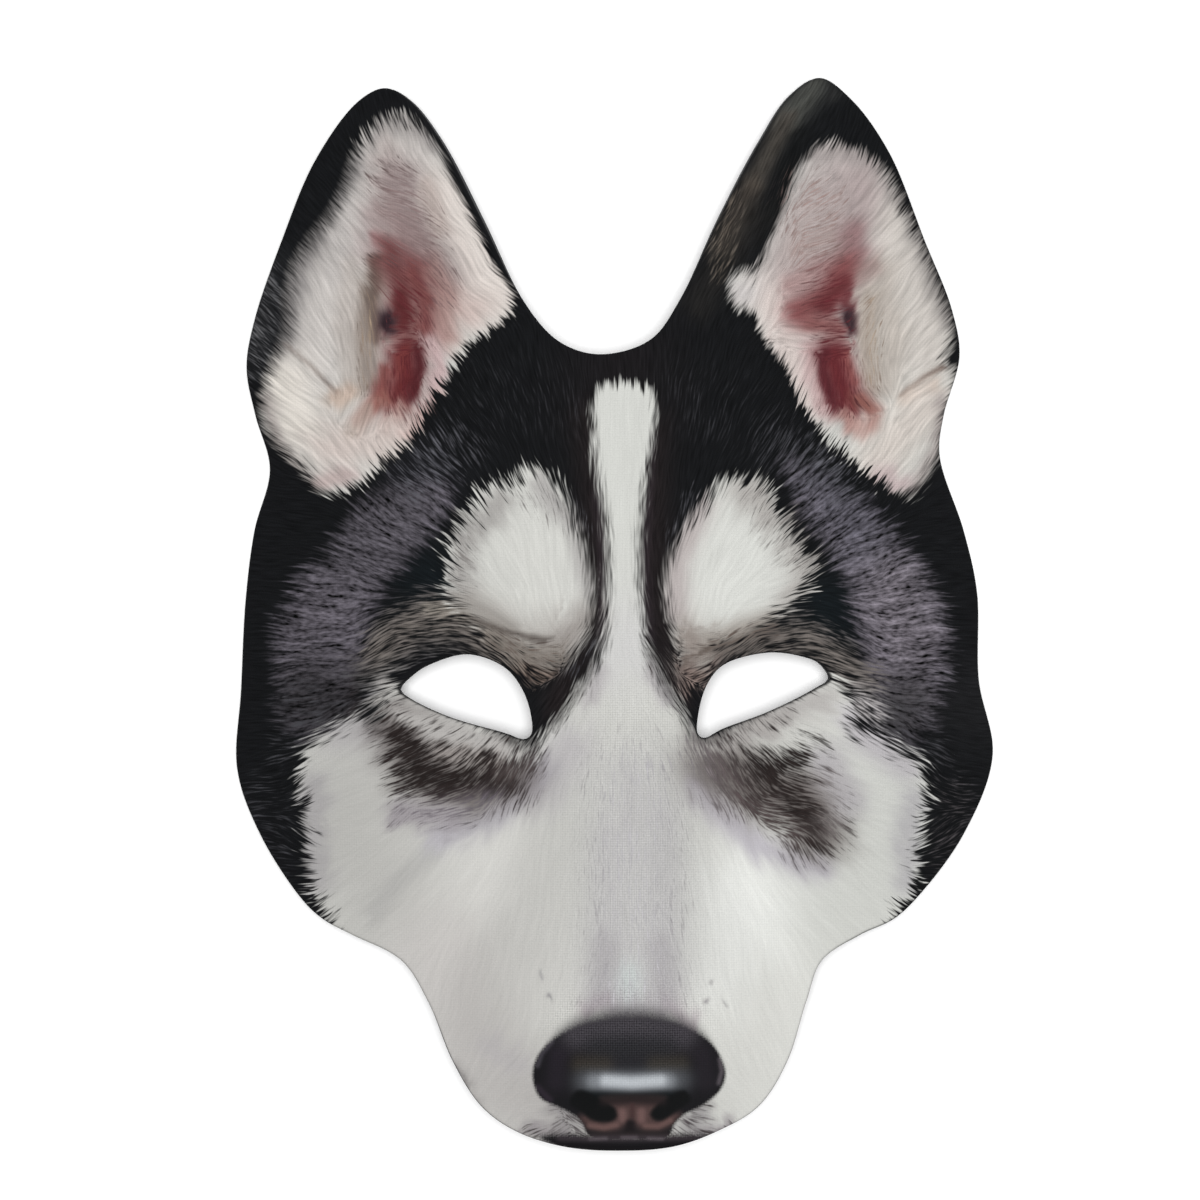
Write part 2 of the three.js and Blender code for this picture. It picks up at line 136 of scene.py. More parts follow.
# Relief tables: rows from the ears down to the lip.
WRAP = {
    "up": (0.50, 0.34, 0.23, 0.14, 0.01, -0.14, -0.27, -0.50),
    "centre": (-0.016, -0.016, -0.016, -0.012, -0.004, 0.000, 0.002, 0.006),
    "half": (0.490, 0.455, 0.475, 0.445, 0.484, 0.500, 0.490, 0.490),
    "crest": (0.36, 0.46, 0.53, 0.57, 0.58, 0.56, 0.53, 0.46),
    "rim": (0.00, 0.02, 0.01, 0.00, 0.00, 0.00, 0.02, 0.04),
    "fullness": (2.3, 2.3, 2.4, 2.5, 2.6, 2.6, 2.4, 2.4),
}
MUZZLE = {
    "up": (-0.060, -0.170, -0.270, -0.360, -0.425, -0.470, -0.500),
    "centre": (0.005, 0.005, 0.005, 0.005, 0.006, 0.006, 0.006),
    "half": (0.080, 0.125, 0.185, 0.250, 0.245, 0.215, 0.190),
    "rise": (0.00, 0.16, 0.32, 0.43, 0.47, 0.34, 0.18),
}
# Pressed swellings and hollows: across, up, wide, tall, turn, rise, crisp.
PRESSED = [
    (-0.110, 0.030, 0.080, 0.065, 0, 0.060, 1),  # brows
    (0.135, 0.030, 0.080, 0.065, 0, 0.060, 1),
    (-0.196, -0.080, 0.125, 0.058, -14, -0.080, 1),  # eye sockets
    (0.196, -0.080, 0.125, 0.058, 14, -0.080, 1),
    (-0.310, -0.175, 0.120, 0.080, 20, 0.060, 1),  # cheeks
    (0.310, -0.175, 0.120, 0.080, -20, 0.060, 1),
    (-0.295, 0.270, 0.090, 0.125, -6, -0.150, 1),  # ear cups
    (0.290, 0.265, 0.090, 0.125, 8, -0.150, 1),
    (-0.145, -0.375, 0.075, 0.055, 0, 0.050, 1),  # muzzle pads
    (0.160, -0.375, 0.075, 0.055, 0, 0.050, 1),
    (0.008, 0.090, 0.040, 0.110, 0, -0.040, 1),  # brow furrow
    (0.017, -0.425, 0.120, 0.052, 0, 0.070, 2),  # nose
]
# The band's way on the table for its left half: across, up, lift.
BAND_BOW = [
    (-0.292, 0.023, 0.93),
    (-0.268, 0.039, 0.58),
    (-0.262, 0.080, 0.12),
    (-0.254, 0.132, 0.00),
    (-0.190, 0.186, 0.00),
    (-0.095, 0.208, 0.00),
]
BAND_TOP_UP = 0.214
TWIST_FROM = 0.10
TWIST_TO = 0.25


def smoothstep(value, low, high):
    t = np.clip((value - low) / (high - low), 0.0, 1.0)
    return t * t * (3 - 2 * t)


def eased(start, rise, leaving, arriving, t):
    """A cubic from start over a rise, with its slopes at both ends."""
    bend = 3 * rise - 2 * leaving - arriving
    return start + t * (leaving + t * (bend + t * (leaving + arriving - 2 * rise)))


def table_at(table, up, column):
    """A value of a table at any height, on a smooth curve through its rows."""
    ups = np.array(table["up"])
    values = np.array(table[column])
    last = len(ups) - 1
    up = np.clip(up, ups[last], ups[0])
    i = np.clip(np.searchsorted(-ups, -up, side="right") - 1, 0, last - 1)
    before, after = np.maximum(i - 1, 0), np.minimum(i + 2, last)
    span = ups[i + 1] - ups[i]
    t = (up - ups[i]) / span
    leaving = (values[i + 1] - values[before]) / (ups[i + 1] - ups[before]) * span
    arriving = (values[after] - values[i]) / (ups[after] - ups[i]) * span
    return eased(values[i], values[i + 1] - values[i], leaving, arriving, t)


def relief_height(x, y):
    up = y / HEIGHT
    reach = np.abs(x / WIDTH - table_at(WRAP, up, "centre")) / table_at(WRAP, up, "half")
    crest = table_at(WRAP, up, "crest")
    height = crest - (crest - table_at(WRAP, up, "rim")) * reach ** table_at(WRAP, up, "fullness")
    reach = np.abs(x / WIDTH - table_at(MUZZLE, up, "centre")) / table_at(MUZZLE, up, "half")
    height = height + table_at(MUZZLE, up, "rise") * (1 - np.minimum(reach, 1) ** 2) ** 2
    for across, form_up, wide, tall, turn, rise, crisp in PRESSED:
        cosine, sine = math.cos(math.radians(turn)), math.sin(math.radians(turn))
        dx, dy = x - across * WIDTH, y - form_up * HEIGHT
        along = (dx * cosine + dy * sine) / (wide * WIDTH)
        over = (dy * cosine - dx * sine) / (tall * HEIGHT)
        height = height + rise * np.exp(-((along**2 + over**2) ** crisp))
    return DEPTH * height


def relief_normal(x, y):
    step = SLOPE_STEP
    slope_x = (relief_height(x + step, y) - relief_height(x - step, y)) / (2 * step)
    slope_y = (relief_height(x, y + step) - relief_height(x, y - step)) / (2 * step)
    normal = np.stack([-slope_x, -slope_y, np.ones_like(slope_x)], axis=-1)
    return normal / np.linalg.norm(normal, axis=-1, keepdims=True)


def smooth_line(points, closed, per_span=24):
    """A centripetal curve through points, sampled densely."""
    points = np.asarray(points, float)
    if closed:
        ring = np.concatenate([points[-1:], points, points[:2]])
    else:
        ring = np.concatenate([2 * points[:1] - points[1:2], points, 2 * points[-1:] - points[-2:-1]])
    samples = []
    t = (np.arange(per_span) / per_span)[:, None]
    for p0, p1, p2, p3 in zip(ring, ring[1:], ring[2:], ring[3:]):
        gaps = ((p0, p1), (p1, p2), (p2, p3))
        d0, d1, d2 = (max(np.linalg.norm(b - a) ** 0.5, TINY) for a, b in gaps)
        leaving = ((p1 - p0) / d0 - (p2 - p0) / (d0 + d1) + (p2 - p1) / d1) * d1
        arriving = ((p2 - p1) / d1 - (p3 - p1) / (d1 + d2) + (p3 - p2) / d2) * d1
        samples.append(eased(p1, p2 - p1, leaving, arriving, t))
    line = np.concatenate(samples)
    return line if closed else np.concatenate([line, points[-1:]])


def even_steps(line, step, closed):
    """Points at even distances along a line."""
    path = np.concatenate([line, line[:1]]) if closed else line
    run = np.concatenate([[0], np.cumsum(np.linalg.norm(np.diff(path, axis=0), axis=1))])
    count = max(int(round(run[-1] / step)), 3)
    at = np.linspace(0, run[-1], count + 1)
    if closed:
        at = at[:-1]
    return np.stack([np.interp(at, run, path[:, k]) for k in range(path.shape[1])], axis=1)


def distance_to(points, line):
    """Distance of each point to the nearest point of a dense line."""
    nearest = np.empty(len(points))
    for start in range(0, len(points), BLOCK):
        block = points[start:start + BLOCK]
        gap = block[:, None, :] - line[None, :, :]
        nearest[start:start + BLOCK] = np.sqrt((gap**2).sum(axis=2).min(axis=1))
    return nearest


def is_inside(points, polygon):
    inside = np.zeros(len(points), bool)
    x, y = points[:, 0], points[:, 1]
    for a, b in zip(polygon, np.roll(polygon, -1, axis=0)):
        crosses = (a[1] > y) != (b[1] > y)
        if a[1] != b[1]:
            inside ^= crosses & (x < (b[0] - a[0]) * (y - a[1]) / (b[1] - a[1]) + a[0])
    return inside


def swept_area(line):
    """Twice the area inside a closed line, negative where it runs clockwise."""
    return np.sum(line[:, 0] * np.roll(line[:, 1], -1) - np.roll(line[:, 0], -1) * line[:, 1])


def inward(line, hole):
    """Unit directions from a cut line into the cloth."""
    run = np.roll(line, -1, axis=0) - np.roll(line, 1, axis=0)
    side = np.stack([-run[:, 1], run[:, 0]], axis=1)
    side /= np.linalg.norm(side, axis=1, keepdims=True)
    return -side if (swept_area(line) < 0) != hole else side


def mask_outline(step):
    right = [place for _, place in OUTLINE]
    left = [place for place, _ in reversed(OUTLINE)]
    places = [(across * WIDTH, up * HEIGHT) for across, up in (NOTCH, *right, LIP, *left)]
    return even_steps(smooth_line(places, True), step, True)


def eye_hole(side, step):
    column = 0 if side < 0 else 1
    middle = side * EYE_SPACING / 2
    level = EYES_UP * HEIGHT
    corners = [row[column] for row in EYE]
    places = [(middle + across * EYE_WIDTH, level + up * EYE_HEIGHT) for across, up in corners]
    return even_steps(smooth_line(places, True), step, True)


def triangular_grid(low, high, facet):
    row_step = facet * math.sqrt(0.75)
    rows = np.arange(low[1], high[1], row_step)
    columns = np.arange(low[0], high[0], facet)
    x, y = np.meshgrid(columns, rows)
    x = x + (np.arange(len(rows)) % 2)[:, None] * facet / 2
    return np.stack([x.ravel(), y.ravel()], axis=1)


def flat_sheet(cuts, rings, grids):
    """A cut sheet: its points, triangles and how far each point is from the cut.

    cuts holds the outline and then the holes, rings the distances of the rows beside them, and grids the
    facets between, each with the boxes that it fills or None for the rest.
    """
    every_cut = np.concatenate(cuts)
    points, gaps = [every_cut], [np.zeros(len(every_cut))]
    for ring in rings:
        for index, cut in enumerate(cuts):
            points.append(cut + inward(cut, index > 0) * ring)
            gaps.append(np.full(len(cut), ring))
    reach = rings[-1] if rings else 0.0
    taken = []
    low, high = cuts[0].min(axis=0), cuts[0].max(axis=0)
    for facet, boxes in grids:
        areas = boxes if boxes is not None else [(low, high)]
        for area_low, area_high in areas:
            area_low, area_high = np.array(area_low), np.array(area_high)
            grid = triangular_grid(area_low, area_high, facet)
            for other_low, other_high in taken:
                margin = BOX_MARGIN * facet
                grid = grid[np.any((grid < other_low - margin) | (grid > other_high + margin), axis=1)]
            grid = grid[is_inside(grid, cuts[0])]
            for hole in cuts[1:]:
                grid = grid[~is_inside(grid, hole)]
            gap = distance_to(grid, every_cut)
            keep = gap > reach + ROW_MARGIN * facet
            points.append(grid[keep])
            gaps.append(gap[keep])
            if boxes is not None:
                taken.append((area_low, area_high))
    points = np.concatenate(points)
    gaps = np.concatenate(gaps)
    edges, start = [], 0
    for cut in cuts:
        count = len(cut)
        edges += [(start + i, start + (i + 1) % count) for i in range(count)]
        start += count
    made = delaunay_2d_cdt([Vector(p) for p in points], edges, [], 0, MERGE, True)
    origin = np.array([ids[0] if ids else -1 for ids in made[3]])
    triangles = origin[np.array([face for face in made[2] if len(face) == 3])]
    triangles = triangles[(triangles >= 0).all(axis=1)]
    doubtful = (triangles < len(every_cut)).all(axis=1)
    middle = points[triangles].mean(axis=1)
    keep = np.ones(len(triangles), bool)
    held = is_inside(middle[doubtful], cuts[0])
    for hole in cuts[1:]:
        held &= ~is_inside(middle[doubtful], hole)
    keep[doubtful] = held
    triangles = triangles[keep]
    a, b, c = (points[triangles[:, k]] for k in range(3))
    (run_x, run_y), (side_x, side_y) = (b - a).T, (c - a).T
    turned = run_x * side_y - side_x * run_y < 0
    triangles[turned] = triangles[turned][:, [0, 2, 1]]
    return points, triangles, gaps


# The shell's lowest point, which rests on the table.
rough_x, rough_y = mask_outline(ROUGH_STEP).T
back_heights = relief_height(rough_x, rough_y) - SHELL_THICKNESS * relief_normal(rough_x, rough_y)[:, 2]
TABLE_LEVEL = float(np.min(back_heights))


def pressed(points, depth):
    """Points of a flat sheet pressed to the relief, at a depth behind its front."""
    x, y = points[:, 0], points[:, 1]
    front = np.stack([x, y, relief_height(x, y) - TABLE_LEVEL], axis=1)
    return front - relief_normal(x, y) * np.broadcast_to(depth, len(x))[:, None]


def rounded(gap, radius):
    """How far a rounded edge lies below the sheet, at a distance from the cut."""
    inside = np.clip(radius - gap, 0, radius)
    return radius - np.sqrt(radius**2 - inside**2)


def layered_body(front, back, cuts, wall_rows=()):
    """One closed body from two triangulated sheets with the same cut points, and rows of wall between.

    front and back are (points, triangles). wall_rows are rows of points along the cuts.
    """
    front_points, front_triangles = front
    back_points, back_triangles = back
    points = [front_points]
    starts = [0]
    total = len(front_points)
    for row in wall_rows:
        starts.append(total)
        points.append(row)
        total += len(row)
    starts.append(total)
    points.append(back_points)
    faces = [front_triangles, back_triangles[:, ::-1] + total]
    first = 0
    for index, cut in enumerate(cuts):
        count = len(cut)
        i = first + np.arange(count)
        j = first + (np.arange(count) + 1) % count
        first += count
        if (swept_area(cut) < 0) != (index > 0):
            i, j = j, i
        for upper, lower in zip(starts, starts[1:]):
            faces.append(np.stack([upper + i, lower + i, lower + j], axis=1))
            faces.append(np.stack([upper + i, lower + j, upper + j], axis=1))
    return np.concatenate(points), np.concatenate(faces)


def mesh_object(name, points, faces, sharp=None):
    mesh = bpy.data.meshes.new(name)
    mesh.vertices.add(len(points))
    mesh.vertices.foreach_set("co", (np.asarray(points) * MM).astype(np.float32).ravel())
    faces = np.asarray(faces)
    sides = faces.shape[1]
    mesh.loops.add(faces.size)
    mesh.loops.foreach_set("vertex_index", faces.astype(np.int32).ravel())
    mesh.polygons.add(len(faces))
    mesh.polygons.foreach_set("loop_start", np.arange(0, faces.size, sides, dtype=np.int32))
    mesh.update(calc_edges=True)
    mesh.validate()
    mesh.shade_smooth()
    if sharp is not None:
        mesh.set_sharp_from_angle(angle=math.radians(sharp))
    piece = bpy.data.objects.new(name, mesh)
    bpy.context.scene.collection.objects.link(piece)
    return piece


def give_vectors(piece, name, values):
    field = piece.data.attributes.new(name, "FLOAT_VECTOR", "POINT")
    field.data.foreach_set("vector", np.ascontiguousarray(values, np.float32).ravel())


def signed_distance(points, polygon):
    """Distance to a polygon's edge, positive inside it."""
    distance = np.full(len(points), FAR)
    for a, b in zip(polygon, np.roll(polygon, -1, axis=0)):
        run = b - a
        along = np.clip(((points - a) @ run) / max(run @ run, 1 / FAR), 0, 1)
        gap = points - a - along[:, None] * run
        distance = np.minimum(distance, (gap**2).sum(axis=1))
    distance = np.sqrt(distance)
    return np.where(is_inside(points, polygon), distance, -distance)


# Where the picture's pixels lie on the mask.
PIXEL = 0.24276
PICTURE_MIDDLE = (615.0, 613.5)
MIRROR_X = 1240.0

# Light areas of the print.
WHITE_FACE = [
    (598, 389), (622, 385), (648, 390), (655, 414), (647, 458), (642, 496), (639, 534), (639, 585),
    (642, 623), (648, 654), (664, 687), (682, 713), (697, 738), (760, 715), (832, 680), (850, 706),
    (850, 728), (881, 740), (901, 753), (919, 765), (926, 793), (921, 819), (919, 850), (916, 875),
    (911, 895), (893, 913), (893, 1000), (840, 1160), (620, 1190), (400, 1160), (320, 1000), (332, 921),
    (322, 903), (312, 885), (306, 865), (309, 837), (306, 804), (301, 783), (304, 763), (309, 747),
    (327, 735), (352, 722), (378, 718), (384, 704), (398, 690), (460, 718), (534, 744), (546, 734),
    (563, 717), (575, 696), (588, 679), (604, 648), (607, 628), (609, 579), (608, 529), (599, 479),
    (594, 424),
]
LEFT_BROW = [
    (462, 528), (478, 500), (494, 486), (514, 482), (537, 472), (556, 488), (572, 522), (586, 562),
    (591, 600), (586, 630), (576, 651), (553, 664), (520, 650), (486, 628), (462, 606), (450, 582),
    (449, 556),
]
RIGHT_BROW = [
    (722, 484), (744, 479), (764, 487), (778, 510), (790, 536), (811, 572), (796, 598), (773, 619),
    (743, 637), (712, 648), (700, 668), (684, 655), (671, 618), (667, 576), (677, 547), (692, 520),
    (707, 503),
]
LEFT_EAR = [
    (402, 119), (424, 134), (444, 164), (461, 199), (479, 239), (496, 271), (512, 297), (508, 316),
    (484, 334), (462, 349), (446, 376), (431, 401), (414, 431), (402, 444), (379, 464), (369, 477),
    (345, 488), (327, 491), (305, 472), (285, 449), (269, 429), (263, 408), (267, 382), (277, 358),
    (289, 329), (289, 296), (297, 266), (315, 239), (330, 219), (344, 194), (353, 169), (363, 143),
    (380, 127),
]
RIGHT_EAR = [
    (819, 148), (840, 146), (860, 151), (876, 164), (891, 182), (903, 208), (917, 233), (930, 264),
    (941, 295), (949, 318), (950, 343), (941, 360), (955, 374), (950, 398), (943, 420), (940, 445),
    (930, 467), (914, 490), (902, 493), (886, 482), (863, 471), (842, 450), (824, 433), (814, 417),
    (803, 401), (794, 381), (779, 358), (763, 335), (756, 318), (742, 302), (737, 284), (752, 278),
    (764, 256), (774, 233), (785, 208), (796, 175), (808, 156),
]
# Grey bands beside the brows.
LEFT_BAND = [
    (404, 482), (449, 486), (440, 519), (414, 549), (392, 574), (372, 611), (366, 645), (362, 690),
    (350, 735), (312, 745), (284, 720), (280, 680), (277, 653), (279, 623), (291, 599), (306, 574),
    (337, 546), (362, 505),
]
RIGHT_BAND = [
    (786, 458), (826, 478), (870, 507), (895, 534), (919, 567), (939, 605), (946, 636), (945, 669),
    (939, 700), (928, 728), (905, 745), (872, 730), (868, 690), (862, 640), (850, 590), (830, 549),
    (804, 514),
]

def linear(colour):
    value = np.clip(np.asarray(colour, float) / 255, 0, 1)
    return np.where(value <= 0.04045, value / 12.92, ((value + 0.055) / 1.055) ** 2.4)


# How the fur lies: x, y and the angle of the hair. The face's left half is mirrored to its right.
LAY_FACE = [
    (620, 430, 90), (620, 520, 90), (620, 600, 90), (620, 690, 90), (600, 360, 88), (560, 430, -82),
    (520, 400, -72), (580, 480, -86), (540, 350, -76), (480, 430, -60), (430, 480, -37), (400, 510, -32),
    (360, 560, -20), (320, 600, -8), (310, 680, 8), (290, 520, -8), (270, 560, 0), (260, 620, 0),
    (255, 720, 0), (262, 790, 6), (534, 485, -68), (560, 500, -76), (496, 498, -58), (466, 530, -46),
    (454, 562, -36), (458, 592, -20), (500, 570, -55), (540, 560, -75), (586, 560, 90), (590, 610, 80),
    (578, 640, 52), (540, 645, 10), (540, 610, -80), (384, 640, 32), (410, 622, 16), (441, 612, 0),
    (470, 626, -16), (495, 642, -32), (516, 666, -48), (540, 660, -20), (560, 700, 60), (590, 670, 72),
    (385, 712, 36), (409, 745, 28), (440, 775, 25), (430, 800, 14), (462, 812, 14), (482, 775, 46),
    (506, 768, 62), (526, 758, 60), (440, 726, 26), (490, 742, 46), (400, 700, 20), (380, 680, 12),
    (345, 740, 30), (304, 783, 30), (301, 837, -30), (292, 870, 0), (400, 885, 42), (350, 895, 40),
    (345, 800, 20), (400, 830, 40), (450, 860, 58), (500, 830, 74), (545, 750, 66), (620, 800, 90),
    (620, 900, 90), (560, 820, 84), (570, 950, 84), (520, 950, 78), (480, 1000, 72), (460, 1060, 66),
    (500, 1110, 50), (556, 1122, 35), (265, 860, 0), (330, 660, 0), (575, 1110, -40), (545, 1115, 10),
]
LAY_LEFT_EAR = [
    (399, 192, -20), (420, 215, -24), (385, 245, -33), (410, 287, -35), (434, 330, -68), (403, 337, 4),
    (402, 372, 86), (321, 305, -63), (345, 250, -52), (350, 200, -48), (367, 323, -84), (369, 372, -80),
    (293, 401, -35), (339, 457, -50), (417, 411, -62), (365, 415, 62), (463, 270, -55), (440, 200, -56),
    (491, 301, -35), (303, 358, -42), (455, 345, -48), (440, 385, -50), (400, 440, -48), (275, 310, -40),
    (262, 350, -38), (330, 195, -52), (380, 110, -70), (405, 128, -75), (270, 430, -30), (450, 150, -55),
]
LAY_RIGHT_EAR = [
    (816, 189, 24), (816, 237, 20), (849, 263, 36), (823, 296, 15), (800, 332, -14), (795, 300, 10),
    (832, 341, 0), (836, 380, -86), (806, 370, 70), (875, 335, 72), (871, 374, -82), (914, 302, 55),
    (890, 240, 48), (936, 335, 48), (930, 380, 32), (914, 416, 42), (881, 432, 66), (904, 475, 58),
    (832, 426, 58), (790, 370, 62), (870, 400, -50), (770, 300, 70), (785, 240, 74), (800, 180, 74),
    (744, 291, 60), (855, 160, 70), (880, 190, 52), (935, 450, 50), (745, 230, 64), (720, 260, 60),
    (800, 110, 60),
]
# How the guides' lay blends between them.
LAY_BLUR = 60
LAY_POWER = 1.9
# The lay is drawn in this many fixed directions, blended from one to the next.
LAY_BINS = 16


def nearness(points, x, y, blur, power):
    """A weight for each point that is greatest at a place."""
    return 1 / ((points[:, 0] - x) ** 2 + (points[:, 1] - y) ** 2 + blur) ** power


def lay_of(points):
    """Doubled-angle direction of the hair at each place."""
    mirrored = [(MIRROR_X - x, y, -angle) for x, y, angle in LAY_FACE]
    cosine = np.zeros(len(points))
    sine = np.zeros(len(points))
    for x, y, angle in LAY_FACE + mirrored + LAY_LEFT_EAR + LAY_RIGHT_EAR:
        share = nearness(points, x, y, LAY_BLUR, LAY_POWER)
        cosine += share * math.cos(math.radians(2 * angle))
        sine += share * math.sin(math.radians(2 * angle))
    size = np.hypot(cosine, sine) + NO_SIZE
    return np.stack([cosine / size, sine / size, np.zeros(len(points))], axis=1)


BLUE_BLACK = (19, 24, 27)
BROWN_BLACK = (31, 27, 28)

# Paint: ([places], radius, colour, strength). Each stroke is laid over those before it.
DARK_BASE = (20, 21, 23)
DARK_PAINT = [
    ([(620, 360), (620, 400)], 50, (26, 24, 26), 1),
    ([(590, 420), (600, 600), (560, 700)], 16, BROWN_BLACK, 1),
    ([(652, 430), (656, 600), (676, 690)], 16, BROWN_BLACK, 1), ([(430, 582)], 30, BLUE_BLACK, 1),
    ([(830, 610)], 32, BLUE_BLACK, 1), ([(980, 700)], 40, (31, 31, 33), 0.8),
    ([(812, 88), (786, 120)], 13, (76, 77, 73), 0.9), ([(786, 120), (756, 180)], 9, (70, 66, 61), 0.9),
    ([(752, 186), (722, 250)], 10, (77, 70, 63), 0.8),
    # The faint grey dab at the right ear's tip, near (838, 90), is a painted sheen on the black fur.
    ([(800, 138), (782, 186), (764, 236)], 8, (19, 20, 21), 0.9), ([(838, 90)], 8, (50, 50, 49), 0.6),
    ([(752, 215), (700, 300)], 16, (40, 38, 36), 0.6), ([(270, 270), (262, 340)], 22, (40, 41, 43), 0.7),
    ([(430, 110), (480, 200)], 16, (22, 23, 25), 1), ([(420, 480)], 30, (32, 32, 36), 1),
    ([(596, 430), (604, 560), (604, 640)], 5, (58, 50, 55), 0.7),
    ([(650, 430), (644, 560), (648, 640)], 5, (56, 48, 53), 0.7),
]
LIGHT_BASE = (206, 206, 201)
